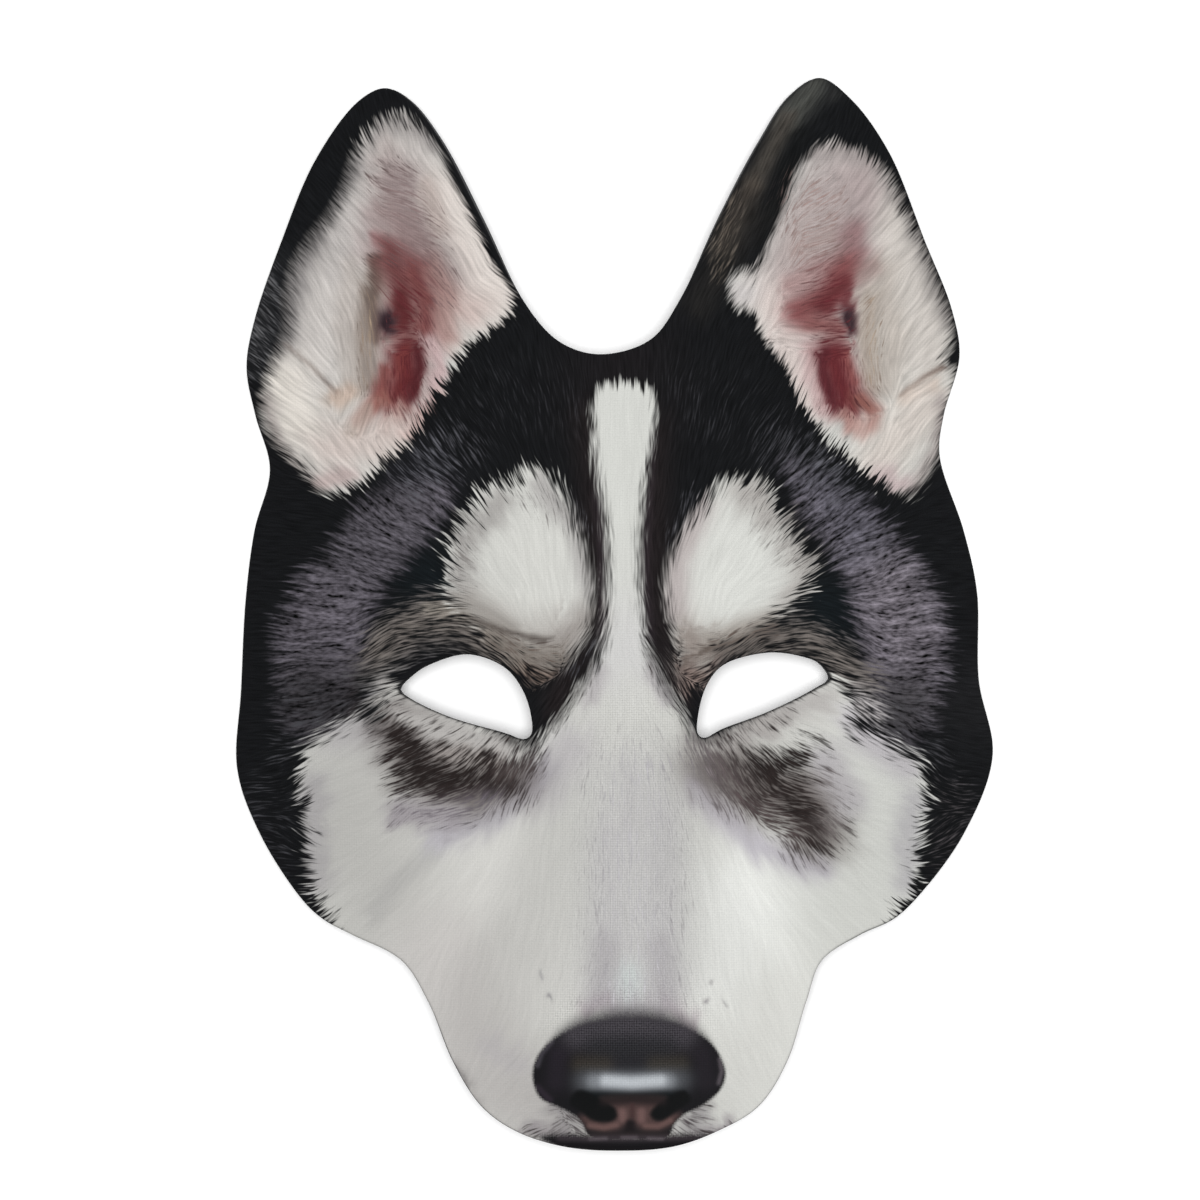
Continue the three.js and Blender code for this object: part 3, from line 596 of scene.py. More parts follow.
LIGHT_PAINT = [
    ([(622, 400), (622, 560)], 60, (211, 212, 207), 1), ([(620, 640)], 40, (205, 204, 204), 0.8),
    # Painted light and shade: the broad cheek, muzzle and jowl strokes are darker on the face's left and
    # lighter on its right, as if lit from the upper right.
    ([(380, 750), (345, 830), (400, 900)], 70, (188, 187, 183), 1),
    ([(390, 745)], 26, (200, 199, 196), 0.8), ([(310, 790), (315, 880)], 14, (168, 165, 166), 0.8),
    ([(335, 735), (372, 726)], 14, (176, 173, 174), 0.8),
    ([(500, 880), (520, 960)], 60, (208, 207, 203), 1),
    ([(440, 960), (480, 1060), (540, 1110)], 46, (198, 195, 192), 1),
    ([(870, 800), (880, 860), (800, 920)], 60, (205, 206, 201), 1),
    ([(740, 900), (740, 980)], 46, (231, 232, 228), 1),
    ([(780, 1020), (740, 1090)], 50, (221, 221, 216), 1),
    ([(458, 1058), (468, 1084), (482, 1103)], 5, (162, 158, 156), 0.35),
    ([(456, 1060), (467, 1086)], 2, (110, 106, 106), 0.4),
    ([(490, 1040), (520, 1060)], 10, (188, 184, 186), 0.5),
    ([(373, 913), (400, 880), (434, 850)], 9, (168, 167, 165), 0.5),
    ([(549, 998)], 2.6, (140, 138, 140), 0.8), ([(541, 977)], 2.2, (158, 156, 158), 0.7),
    ([(706, 1000)], 2.6, (150, 146, 148), 0.8), ([(711, 982)], 2, (160, 158, 158), 0.7),
    ([(725, 1003)], 1.8, (168, 166, 166), 0.7), ([(912, 800), (905, 880)], 12, (176, 174, 176), 0.8),
    ([(860, 735), (905, 765)], 13, (180, 176, 180), 0.8),
    ([(636, 790), (636, 960)], 44, (196, 195, 193), 1),
    ([(610, 840), (606, 980)], 18, (187, 185, 186), 0.5),
    ([(660, 820), (664, 980)], 18, (187, 185, 186), 0.5),
    ([(630, 770), (628, 830)], 8, (184, 182, 182), 0.5),
    ([(570, 745), (540, 790)], 20, (188, 184, 187), 0.7),
    ([(590, 700), (600, 670)], 8, (166, 160, 164), 0.6),
    ([(668, 700), (652, 672)], 8, (166, 160, 164), 0.6),
    ([(540, 770), (500, 815), (440, 836)], 12, (180, 177, 184), 0.8),
    ([(700, 790), (760, 848), (820, 868)], 12, (184, 180, 188), 0.8),
    ([(605, 1000), (590, 1008)], 9, (170, 156, 162), 0.6),
    ([(670, 1004), (690, 1018)], 9, (172, 160, 166), 0.6),
    ([(628, 972), (628, 990)], 12, (200, 208, 206), 0.7),
    ([(606, 945), (603, 985)], 12, (162, 158, 161), 0.5),
    ([(660, 945), (665, 985)], 12, (165, 161, 164), 0.5),
    ([(560, 1106), (568, 1130)], 12, (150, 146, 147), 0.7),
    ([(698, 1108), (692, 1130)], 12, (156, 152, 153), 0.7),
    ([(530, 1126), (560, 1134)], 7, (150, 144, 147), 0.7),
    ([(730, 1124), (702, 1134)], 7, (156, 150, 153), 0.7),
    ([(596, 1004), (662, 1004)], 12, (160, 155, 159), 0.6),
    # Lids and lashes.
    ([(398, 712), (440, 728), (500, 745)], 13, (176, 173, 170), 1),
    ([(820, 700), (770, 716), (716, 742)], 13, (182, 179, 176), 1),
    ([(850, 716), (880, 730)], 12, (190, 186, 190), 0.8),
    # Brows.
    ([(525, 560), (545, 610)], 50, (210, 210, 205), 1),
    ([(500, 502), (466, 540), (462, 588)], 11, (164, 161, 158), 0.85),
    ([(540, 484), (576, 530), (590, 590)], 9, (170, 167, 165), 0.8),
    ([(472, 604), (516, 628), (566, 636)], 17, (182, 178, 173), 0.7),
    ([(466, 604), (506, 628)], 10, (148, 143, 138), 0.75),
    ([(560, 645), (590, 615)], 13, (152, 146, 142), 0.8),
    ([(490, 638), (530, 654), (560, 660)], 12, (130, 122, 115), 0.8),
    ([(462, 614), (500, 630), (548, 641)], 2.5, (70, 62, 58), 0.6),
    ([(745, 560), (720, 610)], 50, (216, 217, 212), 1),
    ([(745, 490), (790, 530), (806, 575), (792, 604)], 15, (172, 168, 164), 0.85),
    ([(700, 505), (676, 560), (674, 610)], 12, (178, 168, 167), 0.8),
    ([(688, 636), (700, 676)], 16, (142, 132, 126), 0.9),
    ([(716, 642), (770, 624)], 12, (150, 142, 135), 0.85),
    ([(700, 652), (750, 636), (796, 616)], 2.5, (78, 68, 62), 0.6),
    # Fur under the eyes.
    ([(398, 734), (424, 770), (470, 790), (512, 774)], 24, (92, 85, 84), 0.85),
    ([(400, 812), (450, 818)], 12, (152, 146, 151), 0.8),
    ([(400, 716), (450, 732), (520, 752)], 8, (184, 181, 178), 0.9),
    ([(440, 752), (500, 762)], 9, (158, 150, 146), 0.7),
    ([(714, 764), (760, 788), (806, 796), (818, 828)], 26, (98, 91, 89), 0.9),
    ([(700, 748), (740, 736), (786, 716)], 8, (170, 166, 163), 0.9),
    ([(826, 760), (845, 800)], 16, (176, 172, 176), 0.7),
    # Left ear.
    ([(300, 360), (330, 270), (400, 160)], 60, (197, 192, 188), 1),
    ([(440, 200), (500, 300)], 24, (217, 208, 202), 1),
    ([(462, 210), (492, 275)], 11, (222, 214, 208), 0.9),
    ([(352, 165), (318, 232), (291, 292), (283, 345)], 12, (134, 130, 129), 0.85),
    ([(372, 138), (402, 124), (428, 142)], 9, (150, 145, 143), 0.8),
    ([(385, 150), (388, 190)], 12, (184, 175, 171), 0.8),
    ([(345, 215), (335, 270)], 12, (184, 179, 176), 0.7),
    ([(396, 180), (410, 230), (440, 280)], 20, (154, 138, 137), 0.9),
    ([(372, 215), (362, 250)], 11, (172, 161, 159), 0.7),
    ([(426, 185), (440, 230)], 8, (182, 168, 162), 0.7),
    ([(445, 335), (446, 300), (470, 312)], 17, (206, 187, 181), 0.9),
    ([(372, 280), (364, 330), (368, 384)], 12, (148, 136, 128), 0.9),
    ([(350, 262), (342, 330), (350, 380)], 8, (180, 172, 166), 0.6),
    ([(377, 258), (371, 300), (376, 336)], 6, (106, 92, 85), 0.85),
    ([(428, 262), (446, 296), (444, 336)], 11, (164, 130, 125), 0.75),
    ([(384, 214), (414, 238)], 14, (146, 124, 123), 0.6),
    ([(376, 240), (396, 250), (416, 262)], 7, (128, 84, 86), 0.6),
    ([(390, 258), (402, 292), (400, 328)], 14, (108, 60, 60), 0.9),
    ([(414, 272), (426, 300), (424, 328)], 10, (124, 70, 69), 0.9),
    ([(398, 296), (404, 320)], 7, (96, 44, 46), 0.9), ([(387, 318), (386, 328)], 7, (50, 36, 42), 1),
    ([(430, 342), (440, 362), (436, 396), (420, 420)], 8, (198, 172, 172), 0.9),
    ([(402, 352), (407, 378), (394, 402)], 14, (104, 44, 46), 1),
    ([(417, 346), (421, 368), (411, 398)], 5, (82, 32, 37), 0.9),
    ([(402, 352), (398, 374)], 5, (134, 68, 66), 0.7),
    ([(388, 340), (400, 335), (414, 338)], 2.5, (150, 112, 110), 0.6),
    ([(386, 372), (380, 396)], 7, (122, 62, 60), 0.8),
    ([(384, 400), (370, 408), (358, 424)], 7, (140, 88, 80), 0.9),
    ([(400, 410), (386, 426)], 8, (174, 134, 126), 0.8),
    ([(286, 345), (312, 367), (337, 394)], 2, (112, 101, 96), 0.7),
    ([(284, 385), (296, 425)], 24, (221, 215, 207), 1),
    ([(334, 446), (372, 440), (392, 436)], 22, (205, 192, 186), 0.9),
    ([(318, 482), (350, 478)], 9, (186, 168, 165), 0.85),
    ([(266, 400), (276, 440), (300, 470)], 7, (172, 164, 160), 0.8),
    ([(336, 400), (350, 392)], 8, (188, 164, 148), 0.7),
    ([(352, 432), (366, 412)], 7, (176, 162, 152), 0.6),
    ([(440, 402), (410, 432)], 9, (204, 178, 172), 0.8),
    # Right ear.
    ([(846, 176), (820, 215), (796, 270)], 36, (180, 169, 167), 1),
    ([(770, 300), (790, 350), (810, 400)], 20, (210, 198, 193), 1),
    ([(890, 220), (930, 300), (925, 350)], 32, (200, 194, 188), 1),
    ([(893, 184), (922, 244), (946, 318)], 9, (150, 145, 142), 0.85),
    ([(812, 156), (842, 149), (874, 165)], 8, (158, 150, 148), 0.8),
    ([(862, 190), (850, 240)], 20, (166, 152, 151), 0.85),
    ([(784, 262), (806, 212)], 8, (184, 171, 168), 0.7),
    ([(800, 250), (830, 235)], 7, (176, 158, 154), 0.7),
    ([(790, 284), (822, 266)], 9, (172, 142, 140), 0.8),
    ([(852, 236), (862, 262)], 12, (138, 102, 104), 0.7),
    ([(800, 312), (826, 296), (846, 268)], 14, (128, 74, 75), 0.95),
    ([(826, 306), (844, 286)], 10, (106, 52, 55), 0.95), ([(810, 324), (836, 328)], 8, (132, 82, 81), 0.85),
    ([(851, 296), (852, 328)], 6, (102, 50, 54), 0.9), ([(850, 316), (851, 328)], 7, (52, 36, 42), 1),
    ([(872, 296), (868, 340), (872, 385)], 10, (166, 153, 142), 0.85),
    ([(882, 270), (892, 330), (886, 384)], 14, (178, 169, 161), 0.75),
    ([(862, 276), (872, 268)], 8, (156, 136, 132), 0.8),
    ([(808, 346), (808, 380), (824, 410)], 7, (204, 182, 180), 0.9),
    ([(832, 354), (838, 380), (848, 402)], 15, (106, 46, 50), 1),
    ([(822, 352), (822, 376), (834, 404)], 5, (86, 35, 41), 0.9),
    ([(844, 354), (854, 380)], 5, (140, 74, 72), 0.7),
    ([(824, 342), (838, 337), (854, 346)], 2.5, (150, 112, 110), 0.6),
    ([(858, 398), (876, 411), (874, 426)], 7, (142, 92, 84), 0.9),
    ([(846, 416), (862, 430)], 8, (176, 136, 128), 0.8),
    ([(904, 393), (926, 376), (948, 364)], 2.6, (108, 92, 84), 0.85),
    ([(908, 400), (936, 386)], 7, (204, 180, 164), 0.8),
    ([(930, 405), (900, 432), (880, 460)], 22, (208, 200, 193), 1),
    ([(944, 400), (938, 448), (916, 486)], 7, (166, 157, 154), 0.8),
    ([(900, 486), (882, 476)], 10, (188, 170, 170), 0.85), ([(742, 292)], 14, (200, 195, 193), 1),
]
GREY_BASE = (90, 86, 94)
GREY_PAINT = [
    ([(400, 505), (350, 560)], 40, (74, 71, 77), 1), ([(320, 620)], 34, (84, 80, 87), 1),
    ([(310, 700), (350, 715)], 36, (46, 44, 47), 1), ([(362, 682), (362, 712)], 10, (33, 28, 28), 0.9),
    ([(830, 480), (870, 540)], 34, (80, 78, 86), 1), ([(895, 590), (905, 640)], 34, (102, 97, 104), 1),
    ([(905, 705), (890, 725)], 28, (56, 54, 57), 1),
]
STREAK_BASE = (60, 60, 64)
STREAK_PAINT = [
    ([(375, 650), (420, 620), (470, 625), (515, 665)], 26, (104, 98, 94), 1),
    ([(500, 634), (530, 660)], 16, (142, 134, 126), 1), ([(430, 606), (470, 612)], 8, (148, 141, 132), 0.8),
    ([(548, 668), (520, 680)], 12, (104, 90, 82), 0.9), ([(392, 690), (384, 700)], 16, (166, 163, 160), 1),
    ([(690, 660), (730, 646), (800, 640), (860, 680)], 26, (104, 98, 94), 1),
    ([(700, 655), (690, 690)], 14, (132, 116, 110), 1), ([(850, 700), (870, 712)], 16, (168, 164, 164), 1),
    ([(262, 280), (262, 360)], 24, (88, 88, 90), 1), ([(440, 460), (420, 480)], 30, (86, 86, 92), 1),
    ([(735, 200), (720, 270)], 22, (92, 84, 76), 1), ([(820, 470), (850, 480)], 24, (84, 84, 90), 1),
    ([(940, 860), (950, 800)], 26, (72, 68, 70), 1), ([(545, 500), (580, 560)], 14, (110, 104, 104), 1),
]
# How thick the pale hairs stand over the dark: ([places], radius, density, strength).
STREAK_DENSITY = [
    ([(560, 400), (480, 400)], 44, 0.07, 1), ([(690, 400), (760, 430)], 44, 0.07, 1),
    ([(264, 280), (258, 370)], 15, 0.34, 1), ([(455, 450), (410, 482)], 18, 0.34, 1),
    ([(785, 446), (845, 480)], 18, 0.34, 1), ([(730, 200), (716, 270)], 11, 0.26, 1),
    ([(552, 486), (580, 530)], 9, 0.34, 1), ([(690, 500), (672, 540)], 8, 0.34, 1),
    ([(366, 668), (390, 634), (430, 612), (476, 618), (520, 656)], 17, 0.62, 1),
    ([(404, 652), (440, 638), (488, 650)], 10, 0.48, 1),
    ([(498, 634), (540, 656), (566, 648)], 11, 0.78, 1), ([(540, 676), (566, 664)], 9, 0.5, 1),
    ([(368, 690), (388, 684)], 13, 0.52, 1), ([(382, 704), (396, 712)], 10, 0.75, 1),
    ([(690, 664), (730, 645), (790, 634), (835, 654), (866, 690)], 17, 0.62, 1),
    ([(760, 645), (810, 650), (840, 672)], 8, 0.46, 1), ([(690, 672), (700, 650)], 13, 0.70, 1),
    ([(862, 706), (886, 724)], 12, 0.54, 1), ([(940, 860), (955, 800)], 24, 0.16, 1),
    ([(275, 860), (262, 800)], 24, 0.14, 1), ([(590, 650), (580, 680)], 9, 0.28, 1),
    ([(300, 700), (330, 720), (296, 745)], 20, 0.24, 1), ([(908, 720), (930, 760)], 18, 0.24, 1),
]
PATCH_BASE = (35, 29, 28)
PATCH_PAINT = [
    ([(400, 812), (450, 812), (490, 800)], 12, (92, 86, 92), 1),
    ([(510, 770), (528, 760)], 12, (66, 58, 57), 0.8),
    ([(712, 762), (740, 800), (790, 835)], 14, (68, 58, 58), 0.9),
    ([(830, 780), (832, 830)], 12, (104, 98, 98), 0.8), ([(560, 690), (545, 730)], 20, (31, 27, 29), 1),
    ([(680, 690), (692, 720)], 16, (31, 27, 29), 1), ([(600, 1000), (650, 1000)], 20, (96, 92, 96), 1),
    ([(560, 1120), (700, 1120)], 20, (74, 68, 70), 1), ([(470, 520), (464, 580)], 22, (96, 92, 90), 1),
    ([(520, 496), (566, 520)], 22, (100, 96, 95), 1), ([(760, 500), (800, 560)], 22, (98, 94, 92), 1),
    ([(690, 660), (716, 645), (770, 628)], 12, (84, 74, 68), 1),
    ([(500, 645), (560, 655)], 12, (84, 74, 68), 1), ([(400, 200), (430, 290)], 36, (116, 99, 98), 1),
    ([(405, 290), (405, 400)], 24, (82, 34, 38), 1), ([(368, 300), (368, 380)], 9, (134, 118, 102), 1),
    ([(820, 200), (810, 250)], 36, (136, 116, 112), 1), ([(836, 290), (836, 400)], 24, (80, 32, 37), 1),
    ([(876, 300), (872, 380)], 9, (136, 120, 104), 1), ([(310, 368)], 20, (80, 70, 66), 1),
    ([(635, 780), (635, 970)], 60, (160, 158, 161), 1),
]
# How thick the dark hairs stand over the light: ([places], radius, density, strength).
PATCH_DENSITY = [
    ([(392, 182), (420, 230), (436, 290)], 20, 0.36, 1),
    ([(398, 262), (412, 300), (406, 400)], 17, 0.36, 1), ([(372, 260), (366, 330), (366, 385)], 8, 0.22, 1),
    ([(812, 200), (822, 260)], 26, 0.34, 1), ([(826, 300), (836, 340), (842, 400)], 17, 0.36, 1),
    ([(872, 300), (876, 340), (872, 390)], 8, 0.22, 1), ([(635, 780), (635, 980)], 42, 0.22, 1),
    ([(470, 520), (464, 580)], 14, 0.16, 1), ([(520, 500), (560, 510)], 14, 0.16, 1),
    ([(760, 500), (800, 560)], 18, 0.18, 1), ([(500, 645), (560, 655)], 10, 0.30, 1),
    ([(690, 660), (716, 645), (770, 628)], 10, 0.30, 1),
    ([(386, 716), (396, 736), (404, 790)], 13, 0.36, 1),
    ([(404, 748), (434, 776), (470, 788), (506, 778)], 23, 0.62, 1),
    ([(418, 762), (454, 784)], 15, 0.90, 1), ([(456, 784), (500, 782)], 14, 0.78, 1),
    ([(490, 772), (500, 784)], 9, 0.92, 1), ([(436, 748), (480, 758)], 9, 0.44, 1),
    ([(394, 738), (414, 746)], 8, 0.84, 1), ([(490, 758), (526, 762)], 12, 0.72, 1),
    ([(530, 752), (538, 746)], 6, 0.74, 1), ([(404, 804), (440, 812), (476, 804)], 10, 0.32, 1),
    ([(400, 822), (440, 822)], 6, 0.16, 1), ([(430, 722), (470, 736), (505, 746)], 7, 0.16, 1),
    ([(512, 740), (532, 742)], 5, 0.5, 1), ([(706, 752), (724, 772), (744, 796)], 16, 0.62, 1),
    ([(736, 768), (784, 792), (812, 828)], 26, 0.60, 1), ([(762, 772), (800, 758)], 12, 0.84, 1),
    ([(750, 800), (756, 806)], 9, 0.85, 1), ([(794, 812), (816, 820)], 9, 0.85, 1),
    ([(770, 818), (800, 836), (818, 844)], 8, 0.66, 1), ([(826, 770), (842, 800)], 11, 0.20, 1),
    ([(806, 736), (820, 744)], 8, 0.36, 1), ([(718, 742), (760, 730), (790, 716)], 8, 0.24, 1),
    ([(704, 744), (726, 738)], 6, 0.5, 1), ([(598, 656), (582, 690), (556, 722)], 5, 0.30, 0.9),
    ([(648, 656), (664, 690), (688, 722)], 5, 0.30, 0.9),
    ([(575, 1004), (632, 1000), (684, 1006)], 8, 0.08, 1), ([(566, 1108), (572, 1130)], 11, 0.42, 1),
    ([(694, 1110), (690, 1132)], 11, 0.42, 1), ([(525, 1130), (600, 1136)], 5, 0.40, 1),
    ([(735, 1128), (660, 1136)], 5, 0.40, 1),
]
# How the edge of the light fur looks: x, y, reach of the spikes and softness in millimetres.
EDGE_STYLE = [
    (622, 388, 1.2, 1.4), (598, 430, 0.5, 1.8), (600, 500, 0.4, 2.2), (609, 570, 0.4, 2.4),
    (606, 630, 0.5, 2.4), (654, 430, 0.5, 1.6), (641, 500, 0.4, 1.9), (639, 570, 0.4, 2.1),
    (644, 630, 0.5, 2.2), (590, 680, 1.2, 2.6), (660, 690, 1.2, 2.6), (550, 735, 1.2, 2.0),
    (480, 505, 3.8, 1.9), (455, 560, 3.8, 1.9), (540, 475, 3.2, 2.4), (575, 520, 1.6, 2.6),
    (590, 570, 0.6, 2.6), (570, 655, 1.2, 2.4), (500, 640, 2.0, 2.6), (765, 485, 3.4, 1.9),
    (800, 540, 3.8, 1.9), (810, 580, 3.4, 1.9), (700, 500, 1.6, 2.4), (668, 580, 0.6, 2.4),
    (700, 660, 1.4, 2.4), (345, 190, 0.3, 3.0), (315, 240, 0.3, 3.4), (290, 320, 0.3, 3.2),
    (262, 420, 0.5, 2.6), (390, 125, 2.2, 2.6), (430, 140, 0.5, 1.6), (461, 199, 0.3, 1.3),
    (496, 271, 0.5, 1.3), (508, 310, 1.0, 1.4), (480, 335, 2.0, 1.2), (430, 400, 2.4, 1.2),
    (370, 475, 2.4, 1.4), (300, 465, 1.2, 2.2), (840, 148, 1.4, 2.0), (800, 165, 0.4, 1.4),
    (774, 233, 0.3, 1.3), (752, 278, 0.8, 1.6), (900, 200, 1.0, 2.6), (940, 300, 0.5, 2.2),
    (760, 340, 0.8, 1.3), (800, 400, 2.0, 1.2), (860, 470, 2.8, 1.2), (930, 450, 0.6, 2.2),
    (304, 790, 2.8, 2.0), (310, 860, 2.8, 2.0), (340, 728, 2.6, 2.4), (388, 708, 2.4, 2.2),
    (920, 800, 2.8, 1.9), (915, 870, 2.8, 1.9), (880, 740, 2.6, 2.4), (848, 712, 2.4, 2.2),
    (460, 720, 1.0, 1.4), (770, 712, 1.0, 1.4),
]
# Painted shade along the cut edge, partly the dark foam edge, and how strongly the weave shows in the print.
EDGE_BASE = 0.35
EDGE_SHADE = [
    ([(400, 690), (470, 650), (530, 740), (400, 690)], 26, 0.8, 1),
    ([(830, 680), (760, 650), (700, 740), (830, 680)], 26, 0.8, 1),
    ([(448, 1040), (480, 1095), (540, 1130)], 20, 1.0, 1), ([(930, 885), (870, 930)], 30, 0.8, 1),
    ([(800, 1060), (760, 1110)], 20, 0.6, 1),
]
WEAVE_BASE = 0.030
WEAVE_SHOWS = [
    ([(636, 700), (636, 985)], 56, 0.12, 1), ([(590, 1034), (628, 1026), (668, 1034)], 26, 0.52, 1),
    ([(622, 660)], 26, 0.05, 1), ([(880, 500)], 60, 0.06, 1),
]

# The nose and the mouth.
NOSE = [
    (628, 1006), (655, 1008), (680, 1015), (701, 1029), (717, 1048), (725, 1071), (719, 1088), (702, 1102),
    (684, 1111), (674, 1121), (668, 1134), (630, 1137), (590, 1134), (582, 1120), (575, 1112), (560, 1104),
    (540, 1094), (533, 1074), (537, 1054), (553, 1034), (576, 1017), (601, 1009),
]
MOUTH = [
    (540, 1134), (570, 1131), (632, 1133), (690, 1131), (712, 1134), (700, 1146), (632, 1152), (560, 1146),
]
MOUTH_SOFT = 6.0
# The nose's edge softens upwards from this level.
NOSE_SOFT = 3.0
NOSE_TOP_SOFT = 11.0
NOSE_TOP = 1046
NOSE_TOP_RUN = 36
NOSE_BASE = (27, 26, 29)
NOSE_PAINT = [
    ([(576, 1030), (628, 1022), (682, 1030)], 15, (66, 63, 68), 1),
    ([(558, 1052), (556, 1078)], 9, (44, 39, 47), 0.7), ([(702, 1052), (706, 1078)], 9, (42, 38, 44), 0.7),
    ([(600, 1046), (662, 1046)], 13, (43, 43, 46), 0.8), ([(580, 1060), (604, 1061)], 8, (60, 54, 46), 0.7),
    ([(655, 1061), (680, 1060)], 8, (60, 55, 47), 0.7), ([(584, 1077), (680, 1076)], 11, (78, 80, 84), 0.9),
    ([(594, 1077), (632, 1078), (668, 1077)], 7.5, (136, 140, 145), 0.9),
    ([(606, 1076), (632, 1078), (660, 1076)], 5.5, (196, 201, 206), 0.9),
    ([(538, 1062), (542, 1050), (552, 1038)], 2.2, (82, 78, 86), 0.7),
    ([(719, 1056), (721, 1068), (718, 1080)], 2, (112, 104, 110), 0.7),
    ([(538, 1084), (550, 1096)], 3, (58, 49, 60), 0.7),
    ([(584, 1092), (632, 1094), (682, 1092)], 4.5, (20, 24, 26), 1),
]
NOSE_TIP = [
    (600, 1095), (631, 1093), (666, 1095), (660, 1101), (673, 1106), (681, 1112), (673, 1120), (663, 1126),
    (647, 1128), (638, 1125), (630, 1119), (622, 1125), (609, 1129), (595, 1127), (584, 1122), (579, 1114),
    (588, 1107), (606, 1102),
]
LEFT_NOSTRIL = [
    (578, 1086), (603, 1096), (615, 1104), (618, 1111), (612, 1117), (600, 1118), (590, 1115), (583, 1109),
    (570, 1099),
]
RIGHT_NOSTRIL = [
    (683, 1087), (663, 1096), (654, 1103), (650, 1110), (654, 1116), (662, 1117), (670, 1112), (678, 1106),
    (690, 1096),
]
# Outline, softness, colour and strength.
NOSE_SHAPES = [
    (NOSE_TIP, 5.0, (88, 68, 66), 0.9), (LEFT_NOSTRIL, 2.0, (18, 19, 20), 1),
    (RIGHT_NOSTRIL, 2.0, (18, 19, 20), 1),
]
NOSE_TOUCHES = [
    ([(622, 1108), (623, 1115)], 4, (126, 98, 95), 0.8),
    ([(641, 1108), (641, 1115)], 4, (126, 98, 95), 0.8),
    ([(604, 1097), (632, 1095), (662, 1097)], 4, (40, 33, 34), 0.8),
    ([(632, 1100), (632, 1112)], 1.8, (70, 50, 50), 0.7),
    ([(590, 1122), (604, 1124), (616, 1121)], 2.6, (120, 93, 89), 0.8),
    ([(645, 1122), (658, 1123), (670, 1117)], 2.6, (116, 90, 86), 0.8),
    ([(630, 1120), (629, 1130)], 4, (30, 25, 27), 1),
    ([(588, 1133), (632, 1132), (672, 1133)], 3.2, (42, 35, 36), 1),
    ([(560, 1136), (632, 1135), (700, 1136)], 3.5, (64, 57, 62), 0.9),
    ([(590, 1136), (606, 1135)], 1.6, (108, 99, 105), 0.7),
    ([(622, 1134), (636, 1134)], 1.6, (104, 95, 101), 0.7),
    ([(648, 1135), (662, 1136)], 1.6, (108, 99, 105), 0.7),
    ([(556, 1145), (632, 1148), (704, 1144)], 5.5, (19, 17, 20), 1),
]
# The white tuft beside the right ear: its place, radius in millimetres and height.
TUFT = (744, 291)
TUFT_RADIUS = 3.4
TUFT_SQUASH = 0.75
# The ridge of the muzzle, with the radius that its grain reaches.
RIDGE = [(636, 790), (636, 960)]
RIDGE_RADIUS = 50
# How far the hair drags the paint: size across and along in millimetres, seed and reach in pixels.
DRAGS = [(1.9, 9.0, 1.0, 7), (1.1, 6.0, 2.0, 5)]
EAR_DRAG_CUT = 0.35
# How the edge styles blend, and how far a stroke reaches and how fast it fades.
STYLE_BLUR = 150
STYLE_POWER = 1.6
STROKE_REACH = 1.25
STROKE_POWER = 2.4
# Outlines of the print: samples for each span of the curve, and steps in pixels.
PRINT_SAMPLES = 8
PRINT_STEP = 6.0
NOSE_STEP = 3.0
# How strongly the hairs shade the dark fur and the light fur.
DARK_GRAIN = 0.28
LIGHT_GRAIN = 0.035
EAR_GRAIN = 0.14
BROW_GRAIN = 0.03
RIDGE_GRAIN = 0.03
# The painted shade at the cut edge fades between these distances in millimetres.
EDGE_FADE = (0.08, 0.7)
# Colours in the lists are as they look under the studio light, which is this much brighter than one.
LIGHT_LEVEL = 1.17
# Numbers that scatter the lattice of the noise, and its shift from one direction to the next.
SCATTER = (127.1, 311.7, 74.7, 43758.5453)
NOISE_SHIFT = (13.7, 5.3)
HAIR_SHIFT = 17.31
HAIR_SHIFT_UP = 2.7


def stroke_share(pixel, places, radius):
    """How far a soft stroke covers each point."""
    places = np.array(places, float)
    distance = np.full(len(pixel), FAR)
    if len(places) == 1:
        distance = ((pixel - places[0]) ** 2).sum(axis=1)
    for a, b in zip(places, places[1:]):
        run = b - a
        along = np.clip(((pixel - a) @ run) / (run @ run), 0, 1)
        distance = np.minimum(distance, ((pixel - a - along[:, None] * run) ** 2).sum(axis=1))
    return np.exp(-((np.sqrt(distance) / (STROKE_REACH * radius)) ** STROKE_POWER))


def painted(pixel, base, strokes):
    """Strokes laid over a base, one over the other."""
    base = np.atleast_1d(np.array(base, float))
    field = base.copy() if base.ndim == 2 else np.tile(base, (len(pixel), 1))
    for places, radius, value, strength in strokes:
        share = strength * stroke_share(pixel, places, radius)
        field += share[:, None] * (np.atleast_1d(np.array(value, float)) - field)
    return field


def value_noise(u, v, seed):
    """Smooth lattice noise from 0 to 1."""
    i, j = np.floor(u), np.floor(v)
    s, t = smoothstep(u - i, 0, 1), smoothstep(v - j, 0, 1)

    def corner(di, dj):
        wave = np.sin((i + di) * SCATTER[0] + (j + dj) * SCATTER[1] + seed * SCATTER[2]) * SCATTER[3]
        return wave - np.floor(wave)

    low = corner(0, 0) * (1 - s) + corner(1, 0) * s
    high = corner(0, 1) * (1 - s) + corner(1, 1) * s
    return low * (1 - t) + high * t


def fur_noise(places, lay, across, along, seed):
    """Streaks along the lay at each place, about -1 to 1."""
    bins = (np.arctan2(lay[:, 1], lay[:, 0]) / (2 * math.pi) % 1.0) * LAY_BINS
    index = np.floor(bins)
    share = bins - index
    total = np.zeros(len(places))
    for offset, weight in ((0, 1 - share), (1, share)):
        turn = (index + offset) % LAY_BINS
        angle = turn * math.pi / LAY_BINS
        u = places[:, 0] * np.cos(angle) + places[:, 1] * np.sin(angle)
        v = places[:, 1] * np.cos(angle) - places[:, 0] * np.sin(angle)
        shift_u, shift_v = NOISE_SHIFT[0] * turn, NOISE_SHIFT[1] * turn
        total += weight * (value_noise(u / along + shift_u, v / across + shift_v, seed) - 0.5)
    return 2 * total / np.sqrt((1 - share) ** 2 + share**2)


